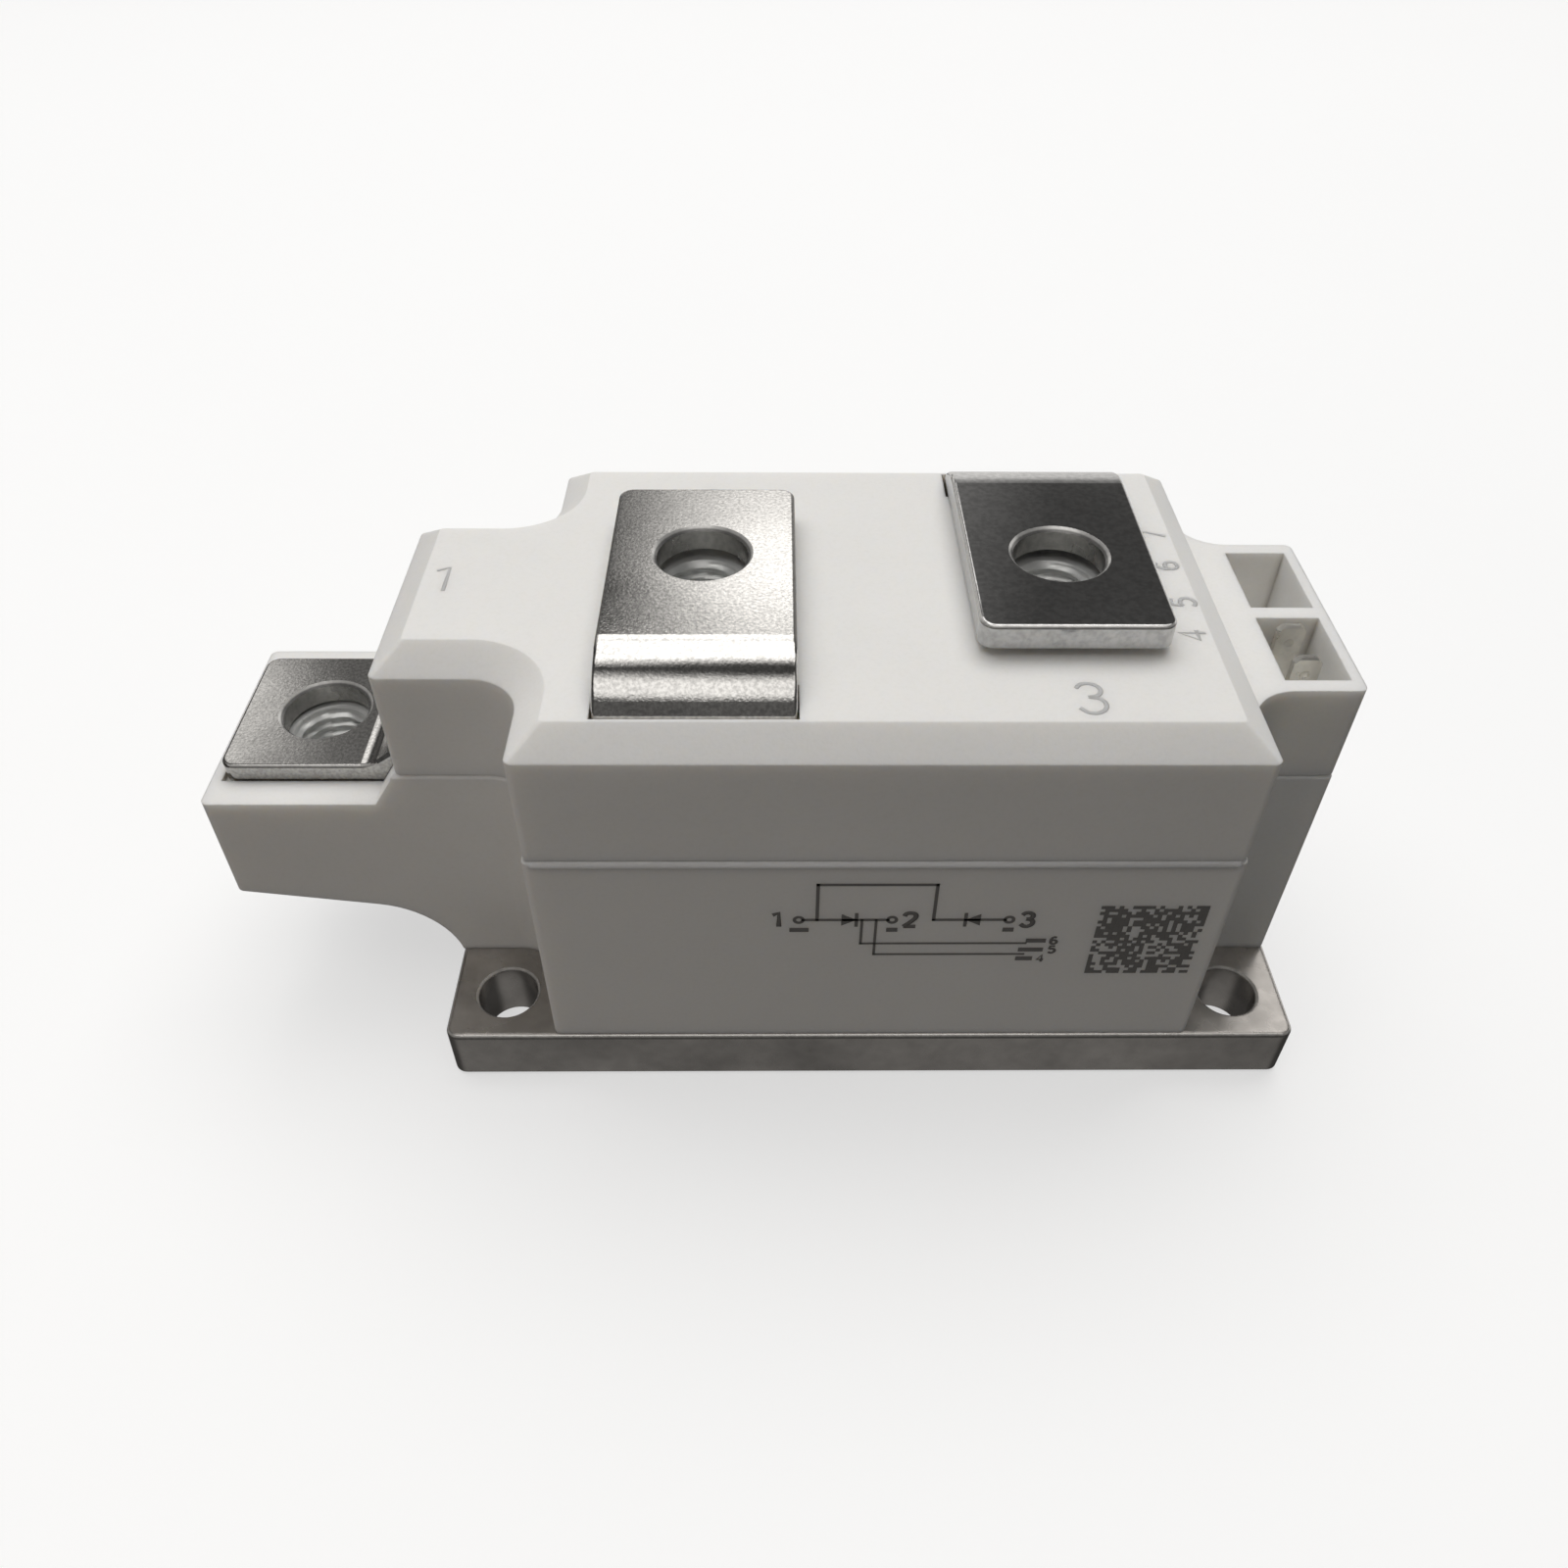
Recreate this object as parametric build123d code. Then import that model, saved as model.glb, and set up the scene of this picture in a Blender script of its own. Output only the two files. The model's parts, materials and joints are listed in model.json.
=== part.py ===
from build123d import *
import math
import os

# Thyristor module with screw terminals, in millimetres.
# X runs along the base plate, +Z is up, and the origin is the centre of the plate's underside.
# Terminal 1 is at the left end, terminals 2 and 3 are on top, and the gate sockets are at the right end.

# Base plate
PLATE_LENGTH = 92.0
PLATE_MARGIN = 0.4
PLATE_THICK = 7.0
PLATE_CORNER_R = 1.5
PLATE_EDGE_R = 0.5
MOUNT_INSET = 6.0
MOUNT_HOLE_R = 3.2
MOUNT_RIM = 0.3

# Moulded housing
WING_WIDTH = 25.6
COVER_LEFT_REACH = 48.5
BLOCK_REACH = 69.0
JUNCTION_R = 5.0
CORNER_R = 0.8
WALL = 2.2
SEAM_RISE = 1.0
SEAM_EDGE = 0.4
COVER_SETBACK = 0.15
COVER_ROOF = 2.6
BEVEL_INSET = 3.0
BEVEL_DROP = 2.4
GATE_WING_DROP = 3.7
LIP_DEPTH = 2.0
LIP_THICK = 0.9
MOULD_GAP = 0.15

# Block that carries terminal 1
LEDGE_DROP = 2.0
BLOCK_FLOOR = 1.1
UNDERSIDE_FALL = 2.3
UNDERSIDE_RUN = 15.0
SHOULDER_RUN = 2.2
SHOULDER_DROP = 0.6
SHELF_THICK = 3.0
SEAT_GAP = 0.2

# Gate sockets
SOCKET_LENGTH = 10.1
SOCKET_WIDTH = 6.4
SOCKET_WALL = 1.15
SOCKET_RIB = 1.8
SOCKET_FLOOR = 2.0

# Bent bars of the screw terminals
BAR_WIDTH = 18.2
BAR_THICK = 2.5
BAR_BEND_R = 3.0
BAR_SOFT_BEND_R = 6.4
BAR_SOFT_STRAIGHT = 0.2
BAR_FOOT_BEND_R = 1.5
BAR_EDGE_R = 0.35
TAB_CORNER_R = 1.5
SLOT_GAP = 0.15
TERMINAL_HOLE_R = 4.5
TERMINAL_HOLE_RIM = 0.45
TERMINAL_PITCH = 35.0
TERMINAL_TOP_Z = 52.0
TAB_LIFT = 0.9
TAB_REACH = 12.1
LEG_SLEEVE_GAP = 0.1
LEG_WALL_GAP = 1.4
TERMINAL_1_INSET = 10.0
TERMINAL_1_TOP_Z = 32.0
TERMINAL_1_TAB_REACH = 8.7
TERMINAL_1_RISE = 3.5
TERMINAL_1_RISE_X = -51.8
TERMINAL_1_RISE_RUN = 5.0
TERMINAL_1_LEG_GAP = 0.5
LINK_LAP = 4.0
LINK_RISE_RUN = 3.0
LINK_BEND_R = 1.0
LINK_END_R = 8.0

# Captive M8 nuts
NUT_FLATS = 13.0
NUT_HEIGHT = 6.5
NUT_THREAD_R = 3.4
NUT_MOUTH = 0.7
NUT_CROWN = 0.4
NUT_DROP = 0.2
NUT_GAP = 0.1
NUT_BOSS_R = 9.5
NUT_BOSS_FLOOR = 1.5
SCREW_WELL_R = 4.6
SCREW_WELL_DEPTH = 4.5

# Fast-on tabs
FASTON_WIDTH = 2.8
FASTON_THICK = 0.8
FASTON_PROUD = 0.1
FASTON_TAIL_Z = 27.6
FASTON_TAIL_WIDTH = 1.8
FASTON_SHIFT = 0.25
FASTON_GATE_SHIFT = -1.35
FASTON_AUXILIARY_SHIFT = 3.85
FASTON_SHOULDER_WIDTH = 3.6
FASTON_SHOULDER_HEIGHT = 1.2
FASTON_TIP = 0.7
FASTON_DIMPLE_R = 0.6
FASTON_DIMPLE_DEPTH = 0.25
FASTON_DIMPLE_DROP = 2.1
FASTON_GAP = 0.05

# Pressure stacks, one under terminal 2 and one under terminal 3
CERAMIC_INNER_X = 1.0
CERAMIC_END_GAP = 0.4
CERAMIC_SIDE_GAP = 2.4
CERAMIC_THICK = 1.5
CERAMIC_CORNER_R = 2.0
LOWER_DISC_MARGIN = 0.5
LOWER_DISC_THICK = 1.5
STACK_WALL_GAP = 4.0
PELLET_R = 10.0
PELLET_THICK = 0.5
UPPER_DISC_INSET = 0.3
UPPER_DISC_THICK = 1.0
CONTACT_REACH = 9.5
PRESSURE_INSULATOR_R = 8.6
PRESSURE_INSULATOR_THICK = 2.0
PRESSURE_DISC_R = 7.6
PRESSURE_DISC_THICK = 2.0
SPRING_OUTER_R = 7.0
SPRING_INNER_R = 3.6
SPRING_THICK = 0.7
SPRING_CONE = 0.3
SPRING_FLAT = 0.3
SPRING_COUNT = 4
BRIDGE_END = 3.7
BRIDGE_WIDTH = 14.0
BRIDGE_THICK = 3.5
BRIDGE_CORNER_R = 5.0
CLAMP_SCREW_R = 2.0
CLAMP_SCREW_BITE = 5.0
CLAMP_SCREW_GAP = 0.05
CLAMP_HEAD_FLATS = 7.0
CLAMP_HEAD_HEIGHT = 2.8
SLEEVE_INNER_R = 2.15
SLEEVE_OUTER_R = 2.9
SLEEVE_GAP = 0.3
SLEEVE_DISC_GAP = 0.6

# Gate contact and leads
GATE_PIN_R = 0.8
GATE_HEAD_R = 1.5
GATE_HEAD_THICK = 1.4
GATE_BUSH_R = 1.6
GATE_GAP = 0.05
LEAD_R = 0.75
LEAD_BEND_R = 4.0
GROOVE_GAP = 0.3
GATE_LEAD_TURN = 10.9
AUXILIARY_LEAD_TURN = 8.9

# Plan sizes that follow from the sizes above, worked out from the stacks outwards
STACK_X = TERMINAL_PITCH / 2
LOWER_DISC_R = PELLET_R + LOWER_DISC_MARGIN
CLAMP_SCREW_Y = LOWER_DISC_R + SLEEVE_DISC_GAP + SLEEVE_OUTER_R
LEG_REACH = CLAMP_SCREW_Y + SLEEVE_OUTER_R + LEG_SLEEVE_GAP + BAR_FOOT_BEND_R + BAR_THICK
LEG_MIDDLE_Y = LEG_REACH - BAR_THICK / 2
SOFT_TANGENT = (BAR_SOFT_BEND_R + BAR_THICK / 2) * math.tan(math.pi / 8)
FOOT_TANGENT = (BAR_FOOT_BEND_R + BAR_THICK / 2) * math.tan(math.pi / 8)
BEND_SLANT = (SOFT_TANGENT + BAR_SOFT_STRAIGHT + FOOT_TANGENT) / math.sqrt(2)
BEND_START_Y = LEG_MIDDLE_Y - BEND_SLANT - SOFT_TANGENT
BEND_ROOF_Y = BEND_START_Y + math.sqrt(BAR_SOFT_BEND_R**2 - (BAR_SOFT_BEND_R - TAB_LIFT) ** 2)
CAVITY_HALF_X = STACK_X + LOWER_DISC_R + STACK_WALL_GAP
CAVITY_HALF_Y = LEG_REACH + LEG_WALL_GAP
MAIN_HALF_X = CAVITY_HALF_X + WALL
MAIN_HALF_Y = CAVITY_HALF_Y + WALL
PLATE_WIDTH = 2 * (MAIN_HALF_Y + PLATE_MARGIN)
MOUNT_PITCH_X = PLATE_LENGTH - 2 * MOUNT_INSET
MOUNT_PITCH_Y = PLATE_WIDTH - 2 * MOUNT_INSET
RIGHT_REACH = PLATE_LENGTH / 2
WING_HALF_Y = WING_WIDTH / 2
WING_CAVITY_HALF_Y = WING_HALF_Y - WALL
SOCKET_X = RIGHT_REACH - SOCKET_WALL - SOCKET_WIDTH / 2
SOCKET_Y = (SOCKET_LENGTH + SOCKET_RIB) / 2
FASTON_X = SOCKET_X + FASTON_SHIFT
FASTON_GATE_Y = FASTON_GATE_SHIFT - SOCKET_Y
FASTON_AUXILIARY_Y = FASTON_AUXILIARY_SHIFT - SOCKET_Y
SLOT_HALF_WIDTH = BAR_WIDTH / 2 + SLOT_GAP
UPPER_DISC_R = BAR_WIDTH / 2 - UPPER_DISC_INSET
TERMINAL_1_X = TERMINAL_1_INSET - BLOCK_REACH
TERMINAL_1_LEG_X = -(STACK_X + LOWER_DISC_R + BAR_FOOT_BEND_R + TERMINAL_1_LEG_GAP)
LINK_START_X = -STACK_X + LOWER_DISC_R + SLEEVE_GAP
LINK_LAP_END_X = LINK_START_X + LINK_LAP
CERAMIC_LENGTH = CAVITY_HALF_X - CERAMIC_END_GAP - CERAMIC_INNER_X
CERAMIC_WIDTH = 2 * (CAVITY_HALF_Y - CERAMIC_SIDE_GAP)
CERAMIC_X = CERAMIC_INNER_X + CERAMIC_LENGTH / 2
BRIDGE_LENGTH = 2 * (CLAMP_SCREW_Y + BRIDGE_END)
SLEEVE_HOLE_R = SLEEVE_OUTER_R + SLEEVE_GAP
GATE_HOLE_R = GATE_BUSH_R + GATE_GAP
NEAR = 0.01

# Heights that follow from the sizes above
BAR_BASE_Z = PLATE_THICK + CERAMIC_THICK
LOWER_DISC_Z = BAR_BASE_Z + BAR_THICK
PELLET_Z = LOWER_DISC_Z + LOWER_DISC_THICK
UPPER_DISC_Z = PELLET_Z + PELLET_THICK
CONTACT_Z = UPPER_DISC_Z + UPPER_DISC_THICK
INSULATOR_Z = CONTACT_Z + BAR_THICK
PRESSURE_DISC_Z = INSULATOR_Z + PRESSURE_INSULATOR_THICK
SPRING_Z = PRESSURE_DISC_Z + PRESSURE_DISC_THICK
SPRING_HEIGHT = SPRING_THICK + SPRING_CONE
BRIDGE_Z = SPRING_Z + SPRING_COUNT * SPRING_HEIGHT
CLAMP_HEAD_Z = BRIDGE_Z + BRIDGE_THICK
COVER_TOP_Z = TERMINAL_TOP_Z - BAR_THICK - TAB_LIFT
GATE_WING_TOP_Z = COVER_TOP_Z - GATE_WING_DROP
FASTON_TOP_Z = GATE_WING_TOP_Z + FASTON_PROUD
ROOF_NUT_Z = COVER_TOP_Z - NUT_DROP - NUT_HEIGHT
TERMINAL_1_SEAT_Z = TERMINAL_1_TOP_Z - BAR_THICK - SEAT_GAP
TERMINAL_1_NUT_Z = TERMINAL_1_SEAT_Z - NUT_DROP - NUT_HEIGHT
TERMINAL_1_RUN_Z = TERMINAL_1_TOP_Z + TERMINAL_1_RISE - BAR_THICK
SEAM_Z = TERMINAL_1_RUN_Z + SEAM_RISE
SHOULDER_Z = SEAM_Z - SHOULDER_DROP
LEDGE_TOP_Z = TERMINAL_1_TOP_Z - LEDGE_DROP
BLOCK_BOTTOM_Z = TERMINAL_1_NUT_Z - SCREW_WELL_DEPTH - BLOCK_FLOOR
SOCKET_FLOOR_Z = SEAM_Z + SOCKET_FLOOR


def box(x0, x1, y0, y1, z0, z1):
    """Block between two corners."""
    return Pos(x0, y0, z0) * Box(x1 - x0, y1 - y0, z1 - z0, align=(Align.MIN, Align.MIN, Align.MIN))


def disc(radius, z0, z1, x=0.0, y=0.0):
    """Upright cylinder between two heights."""
    return Pos(x, y, z0) * Cylinder(radius, z1 - z0, align=(Align.CENTER, Align.CENTER, Align.MIN))


def countersink(radius, depth, top_z, x=0.0, y=0.0):
    """Cone that opens a hole's rim at 45 degrees up to the given height."""
    cone = Cone(radius, radius + depth, depth, align=(Align.CENTER, Align.CENTER, Align.MIN))
    return Pos(x, y, top_z - depth) * cone


def hexagon(flats, z0, z1, x=0.0, y=0.0):
    """Upright hexagonal prism with two flats across the module."""
    outline = RegularPolygon(flats / 2, 6, major_radius=False, rotation=30)
    return Pos(x, y, z0) * extrude(outline, z1 - z0)


def both_stacks(piece):
    """Two copies of a piece that is modelled on the axis of a stack."""
    return [Pos(-STACK_X, 0, 0) * piece, Pos(STACK_X, 0, 0) * piece]


# Base plate


def make_base_plate():
    """Nickel-plated copper plate with four mounting holes and the clamp screws' tapped holes."""
    plan = fillet(Rectangle(PLATE_LENGTH, PLATE_WIDTH).vertices(), PLATE_CORNER_R)
    plate = extrude(plan, PLATE_THICK)
    plate = fillet(plate.edges().group_by(Axis.Z)[-1], PLATE_EDGE_R)
    plate = chamfer(plate.edges().group_by(Axis.Z)[0], PLATE_EDGE_R)
    hole = disc(MOUNT_HOLE_R, 0, PLATE_THICK) + countersink(MOUNT_HOLE_R, MOUNT_RIM, PLATE_THICK)
    for place in GridLocations(MOUNT_PITCH_X, MOUNT_PITCH_Y, 2, 2):
        plate -= place * hole
    tapped = disc(CLAMP_SCREW_R + CLAMP_SCREW_GAP, PLATE_THICK - CLAMP_SCREW_BITE, PLATE_THICK)
    for place in GridLocations(TERMINAL_PITCH, 2 * CLAMP_SCREW_Y, 2, 2):
        plate -= place * tapped
    return plate


# Housing


def housing_outline(left, right, setback=0.0):
    """Plan of a moulding: a main block with a narrower wing at one or both ends, its sides set back."""
    half_x = MAIN_HALF_X - setback
    half_wing = WING_HALF_Y - setback
    plan = Rectangle(2 * half_x, 2 * (MAIN_HALF_Y - setback))
    plan += Pos((left + right) / 2, 0) * Rectangle(right - left, 2 * half_wing)
    inner = [v for v in plan.vertices() if abs(abs(v.X) - half_x) < NEAR and abs(abs(v.Y) - half_wing) < NEAR]
    return fillet(inner, JUNCTION_R)


def outer_corners(solid):
    """Upright edges at the outer corners of the main block and of the wings."""
    upright = [e for e in solid.edges().filter_by(Axis.Z) if e.length > 2 * CORNER_R]
    main = [e for e in upright if abs(abs(e.center().Y) - MAIN_HALF_Y) < CORNER_R / 2]
    wings = [
        e
        for e in upright
        if abs(abs(e.center().Y) - WING_HALF_Y) < CORNER_R / 2
        and abs(e.center().X) > MAIN_HALF_X + JUNCTION_R + NEAR
    ]
    return main + wings


def frame_side_view():
    """Side view of the lower moulding, with the overhanging block of terminal 1 at the left."""
    left = -BLOCK_REACH
    arch_start = (left + UNDERSIDE_RUN, BLOCK_BOTTOM_Z - UNDERSIDE_FALL)
    arch_end = (-PLATE_LENGTH / 2, PLATE_THICK)
    slope = Line((left, BLOCK_BOTTOM_Z), arch_start)
    arch = TangentArc(arch_start, arch_end, tangent=slope % 1)
    shoulder_x = -COVER_LEFT_REACH - SEAM_EDGE
    rest = Polyline(
        arch_end,
        (RIGHT_REACH, PLATE_THICK),
        (RIGHT_REACH, SEAM_Z),
        (shoulder_x, SEAM_Z),
        (shoulder_x, SHOULDER_Z),
        (shoulder_x - SHOULDER_RUN, LEDGE_TOP_Z),
        (left, LEDGE_TOP_Z),
        (left, BLOCK_BOTTOM_Z),
    )
    return make_face(slope.edges() + arch.edges() + rest.edges())


def make_housing_frame():
    """Lower moulding: an open tub with a gate wing and the overhanging block of terminal 1."""
    solid = extrude(housing_outline(-BLOCK_REACH, RIGHT_REACH), SEAM_Z)
    solid &= extrude(Plane.XZ * frame_side_view(), MAIN_HALF_Y, both=True)
    solid = fillet(outer_corners(solid), CORNER_R)
    solid = chamfer(solid.edges().group_by(Axis.Z)[-1], SEAM_EDGE)
    wing_x = PLATE_LENGTH / 2 - WALL
    shelf_z = TERMINAL_1_RUN_Z - SEAT_GAP - SHELF_THICK
    wing = WING_CAVITY_HALF_Y
    solid -= box(-CAVITY_HALF_X, CAVITY_HALF_X, -CAVITY_HALF_Y, CAVITY_HALF_Y, 0, SEAM_Z)
    solid -= box(0, RIGHT_REACH - WALL, -wing, wing, 0, SEAM_Z)
    solid -= box(-wing_x, 0, -wing, wing, 0, shelf_z)
    shelf_end_x = TERMINAL_1_LEG_X - BAR_THICK - BAR_BEND_R
    solid -= box(shelf_end_x, 0, -wing, wing, 0, SEAM_Z)
    return solid - terminal_1_recess()


def terminal_1_recess():
    """Seat, bar channel, nut pocket and screw well in the block of terminal 1."""
    half = SLOT_HALF_WIDTH
    seat_left = TERMINAL_1_X - TERMINAL_1_TAB_REACH - SLOT_GAP
    ramp_x = TERMINAL_1_RISE_X + BAR_THICK / 2
    run_z = TERMINAL_1_RUN_Z - SEAT_GAP
    side = Polyline(
        (seat_left, TERMINAL_1_SEAT_Z),
        (ramp_x, TERMINAL_1_SEAT_Z),
        (ramp_x + TERMINAL_1_RISE_RUN, run_z),
        (0, run_z),
        (0, SEAM_Z),
        (seat_left, SEAM_Z),
        close=True,
    )
    recess = extrude(Plane.XZ * make_face(side), half, both=True)
    recess += hexagon(NUT_FLATS + 2 * NUT_GAP, TERMINAL_1_NUT_Z, TERMINAL_1_SEAT_Z, TERMINAL_1_X)
    well_z = TERMINAL_1_NUT_Z - SCREW_WELL_DEPTH
    return recess + disc(SCREW_WELL_R, well_z, TERMINAL_1_NUT_Z, TERMINAL_1_X)


def make_housing_cover():
    """Upper moulding with a bevelled roof, nut pockets, bar slots and the two gate sockets."""
    solid = cover_shell()
    for x in (-STACK_X, STACK_X):
        solid += disc(NUT_BOSS_R, ROOF_NUT_Z - SCREW_WELL_DEPTH - NUT_BOSS_FLOOR, COVER_TOP_Z - COVER_ROOF, x)
        solid -= hexagon(NUT_FLATS + 2 * NUT_GAP, ROOF_NUT_Z, COVER_TOP_Z, x)
        solid -= disc(SCREW_WELL_R, ROOF_NUT_Z - SCREW_WELL_DEPTH, ROOF_NUT_Z, x)
    solid -= leg_slot() + Rot(0, 0, 180) * leg_slot()
    run_top_z = TERMINAL_1_RUN_Z + BAR_THICK + SLOT_GAP
    solid -= box(-COVER_LEFT_REACH, -MAIN_HALF_X, -SLOT_HALF_WIDTH, SLOT_HALF_WIDTH, SEAM_Z, run_top_z)
    socket = box(
        SOCKET_X - SOCKET_WIDTH / 2,
        SOCKET_X + SOCKET_WIDTH / 2,
        SOCKET_Y - SOCKET_LENGTH / 2,
        SOCKET_Y + SOCKET_LENGTH / 2,
        SOCKET_FLOOR_Z,
        GATE_WING_TOP_Z,
    )
    solid -= socket + mirror(socket, about=Plane.XZ)
    half_width = FASTON_WIDTH / 2 + FASTON_GAP
    half_thick = FASTON_THICK / 2 + FASTON_GAP
    for y in (FASTON_GATE_Y, FASTON_AUXILIARY_Y):
        x0 = FASTON_X - half_width
        x1 = FASTON_X + half_width
        solid -= box(x0, x1, y - half_thick, y + half_thick, SEAM_Z, SOCKET_FLOOR_Z)
    return solid


def cover_shell():
    """Hollow cap with the left wing at full height and the gate wing lower."""
    plan = housing_outline(-COVER_LEFT_REACH, MAIN_HALF_X - COVER_SETBACK, COVER_SETBACK)
    upper = extrude(Pos(0, 0, SEAM_Z) * plan, COVER_TOP_Z - SEAM_Z)
    roof = upper.faces().sort_by(Axis.Z)[-1]
    upper = chamfer(roof.edges(), BEVEL_INSET, BEVEL_DROP, reference=roof)
    upper = fillet(outer_corners(upper), CORNER_R)
    hips = [e for e in upper.edges().filter_by(GeomType.LINE) if min(abs(v) for v in e % 0) > NEAR]
    upper = fillet(hips, CORNER_R)
    gate_plan = housing_outline(0, RIGHT_REACH, COVER_SETBACK)
    gate_wing = extrude(Pos(0, 0, SEAM_Z) * gate_plan, GATE_WING_TOP_Z - SEAM_Z)
    gate_wing &= box(0, RIGHT_REACH, -MAIN_HALF_Y + CORNER_R, MAIN_HALF_Y - CORNER_R, SEAM_Z, GATE_WING_TOP_Z)
    solid = upper + fillet(outer_corners(gate_wing), CORNER_R)
    roof_z = COVER_TOP_Z - COVER_ROOF
    wing = WING_CAVITY_HALF_Y
    solid -= box(-CAVITY_HALF_X, CAVITY_HALF_X, -CAVITY_HALF_Y, CAVITY_HALF_Y, SEAM_Z, roof_z)
    solid -= box(-COVER_LEFT_REACH + WALL, 0, -wing, wing, SEAM_Z, roof_z)
    outer = CAVITY_HALF_Y - MOULD_GAP
    half = CAVITY_HALF_X - WALL
    lip = box(-half, half, outer - LIP_THICK, outer, SEAM_Z - LIP_DEPTH, SEAM_Z + LIP_DEPTH)
    lip += box(-half, half, outer, CAVITY_HALF_Y, SEAM_Z, SEAM_Z + LIP_DEPTH)
    return solid + lip + mirror(lip, about=Plane.XZ)


def leg_slot():
    """Slot at the back of the roof that the leg and bend of terminal 3 pass through."""
    y0 = BEND_ROOF_Y - 2 * SLOT_GAP
    y1 = LEG_REACH + SLOT_GAP
    x0 = STACK_X - SLOT_HALF_WIDTH
    return box(x0, x0 + 2 * SLOT_HALF_WIDTH, y0, y1, COVER_TOP_Z - COVER_ROOF, COVER_TOP_Z)


# Bent bars


def bar_section(points, radii):
    """Side view of a bent bar whose middle line runs through the points, with inner bend radii."""
    middle = FilletPolyline(*points, radius=[r + BAR_THICK / 2 for r in radii])
    skins = [middle.offset_2d(BAR_THICK / 2, side=side, closed=False) for side in (Side.LEFT, Side.RIGHT)]
    outline = skins[0].edges() + skins[1].edges()
    for tip in (middle @ 0, middle @ 1):
        near = [min((skin @ 0, skin @ 1), key=lambda p: (p - tip).length) for skin in skins]
        outline += Line(*near).edges()
    return make_face(outline)


def finish_tab(bar, top_z, axis, hole_x=0.0):
    """Round the free corners of a bar's tab, break its upper edges and drill it for an M8 screw."""
    upright = [e for e in bar.edges().filter_by(Axis.Z) if abs(e.bounding_box().max.Z - top_z) < NEAR]
    bar = fillet(ShapeList(upright).sort_by(axis)[:2], TAB_CORNER_R)
    top = [f for f in bar.faces().filter_by(Axis.Z) if abs(f.center().Z - top_z) < NEAR][0]
    bar = fillet(top.edges().sort_by(axis)[:-1], BAR_EDGE_R)
    hole = disc(TERMINAL_HOLE_R, top_z - BAR_THICK, top_z, hole_x)
    return bar - hole - countersink(TERMINAL_HOLE_R, TERMINAL_HOLE_RIM, top_z, hole_x)


def make_top_bar(foot_z):
    """Bar of a top terminal: tab, bend that tightens towards the back, leg, and a foot at the given height."""
    tab_z = TERMINAL_TOP_Z - BAR_THICK / 2
    foot_mid_z = foot_z + BAR_THICK / 2
    points = [
        (-TAB_REACH, tab_z),
        (LEG_MIDDLE_Y - BEND_SLANT, tab_z),
        (LEG_MIDDLE_Y, tab_z - BEND_SLANT),
        (LEG_MIDDLE_Y, foot_mid_z),
        (-CONTACT_REACH, foot_mid_z),
    ]
    section = bar_section(points, [BAR_SOFT_BEND_R, BAR_FOOT_BEND_R, BAR_FOOT_BEND_R])
    bar = extrude(Plane.YZ * section, BAR_WIDTH / 2, both=True)
    bar = finish_tab(bar, TERMINAL_TOP_Z, Axis.Y)
    return bar - disc(SLEEVE_HOLE_R, foot_z, foot_z + LOWER_DISC_R, 0, CLAMP_SCREW_Y)


def make_terminal_2_bar():
    """Left-hand top bar, turned half round, whose foot presses on top of the left stack."""
    return Pos(-STACK_X, 0, 0) * Rot(0, 0, 180) * make_top_bar(CONTACT_Z)


def make_terminal_3_bar():
    """Right-hand top bar, whose foot carries the right stack."""
    return Pos(STACK_X, 0, 0) * make_top_bar(BAR_BASE_Z)


def make_terminal_1_bar():
    """Long bar: low tab at the left end, a joggle, a leg, and a foot under the left stack."""
    tab_z = TERMINAL_1_TOP_Z - BAR_THICK / 2
    run_z = tab_z + TERMINAL_1_RISE
    leg_x = TERMINAL_1_LEG_X - BAR_THICK / 2
    foot_mid_z = BAR_BASE_Z + BAR_THICK / 2
    points = [
        (TERMINAL_1_X - TERMINAL_1_TAB_REACH, tab_z),
        (TERMINAL_1_RISE_X, tab_z),
        (TERMINAL_1_RISE_X + TERMINAL_1_RISE_RUN, run_z),
        (leg_x, run_z),
        (leg_x, foot_mid_z),
        (LINK_LAP_END_X, foot_mid_z),
    ]
    section = bar_section(points, [BAR_BEND_R, BAR_BEND_R, BAR_BEND_R, BAR_FOOT_BEND_R])
    bar = extrude(Plane.XZ * section, BAR_WIDTH / 2, both=True)
    return finish_tab(bar, TERMINAL_1_TOP_Z, Axis.X, TERMINAL_1_X)


def make_midpoint_link():
    """Strap from the foot of terminal 1 to the top of the right stack."""
    low_z = LOWER_DISC_Z + BAR_THICK / 2
    high_z = CONTACT_Z + BAR_THICK / 2
    points = [
        (LINK_START_X, low_z),
        (LINK_LAP_END_X, low_z),
        (LINK_LAP_END_X + LINK_RISE_RUN, high_z),
        (STACK_X + CONTACT_REACH, high_z),
    ]
    strap = extrude(Plane.XZ * bar_section(points, [LINK_BEND_R, LINK_BEND_R]), BAR_WIDTH / 2, both=True)
    strap = fillet(strap.edges().filter_by(Axis.Z).sort_by(Axis.X)[-2:], LINK_END_R)
    return strap - disc(GATE_HOLE_R, CONTACT_Z, INSULATOR_Z, STACK_X)


# Nuts and fast-on tabs


def make_nut(x, bottom_z):
    """Captive M8 nut with crowned corners and chamfered mouths."""
    top_z = bottom_z + NUT_HEIGHT
    crown = disc(NUT_FLATS / math.sqrt(3), bottom_z, top_z, x)
    crown = chamfer(crown.edges().filter_by(GeomType.CIRCLE), NUT_CROWN)
    nut = hexagon(NUT_FLATS, bottom_z, top_z, x) & crown
    nut -= disc(NUT_THREAD_R, bottom_z, top_z, x)
    nut -= countersink(NUT_THREAD_R, NUT_MOUTH, top_z, x)
    return nut


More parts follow.
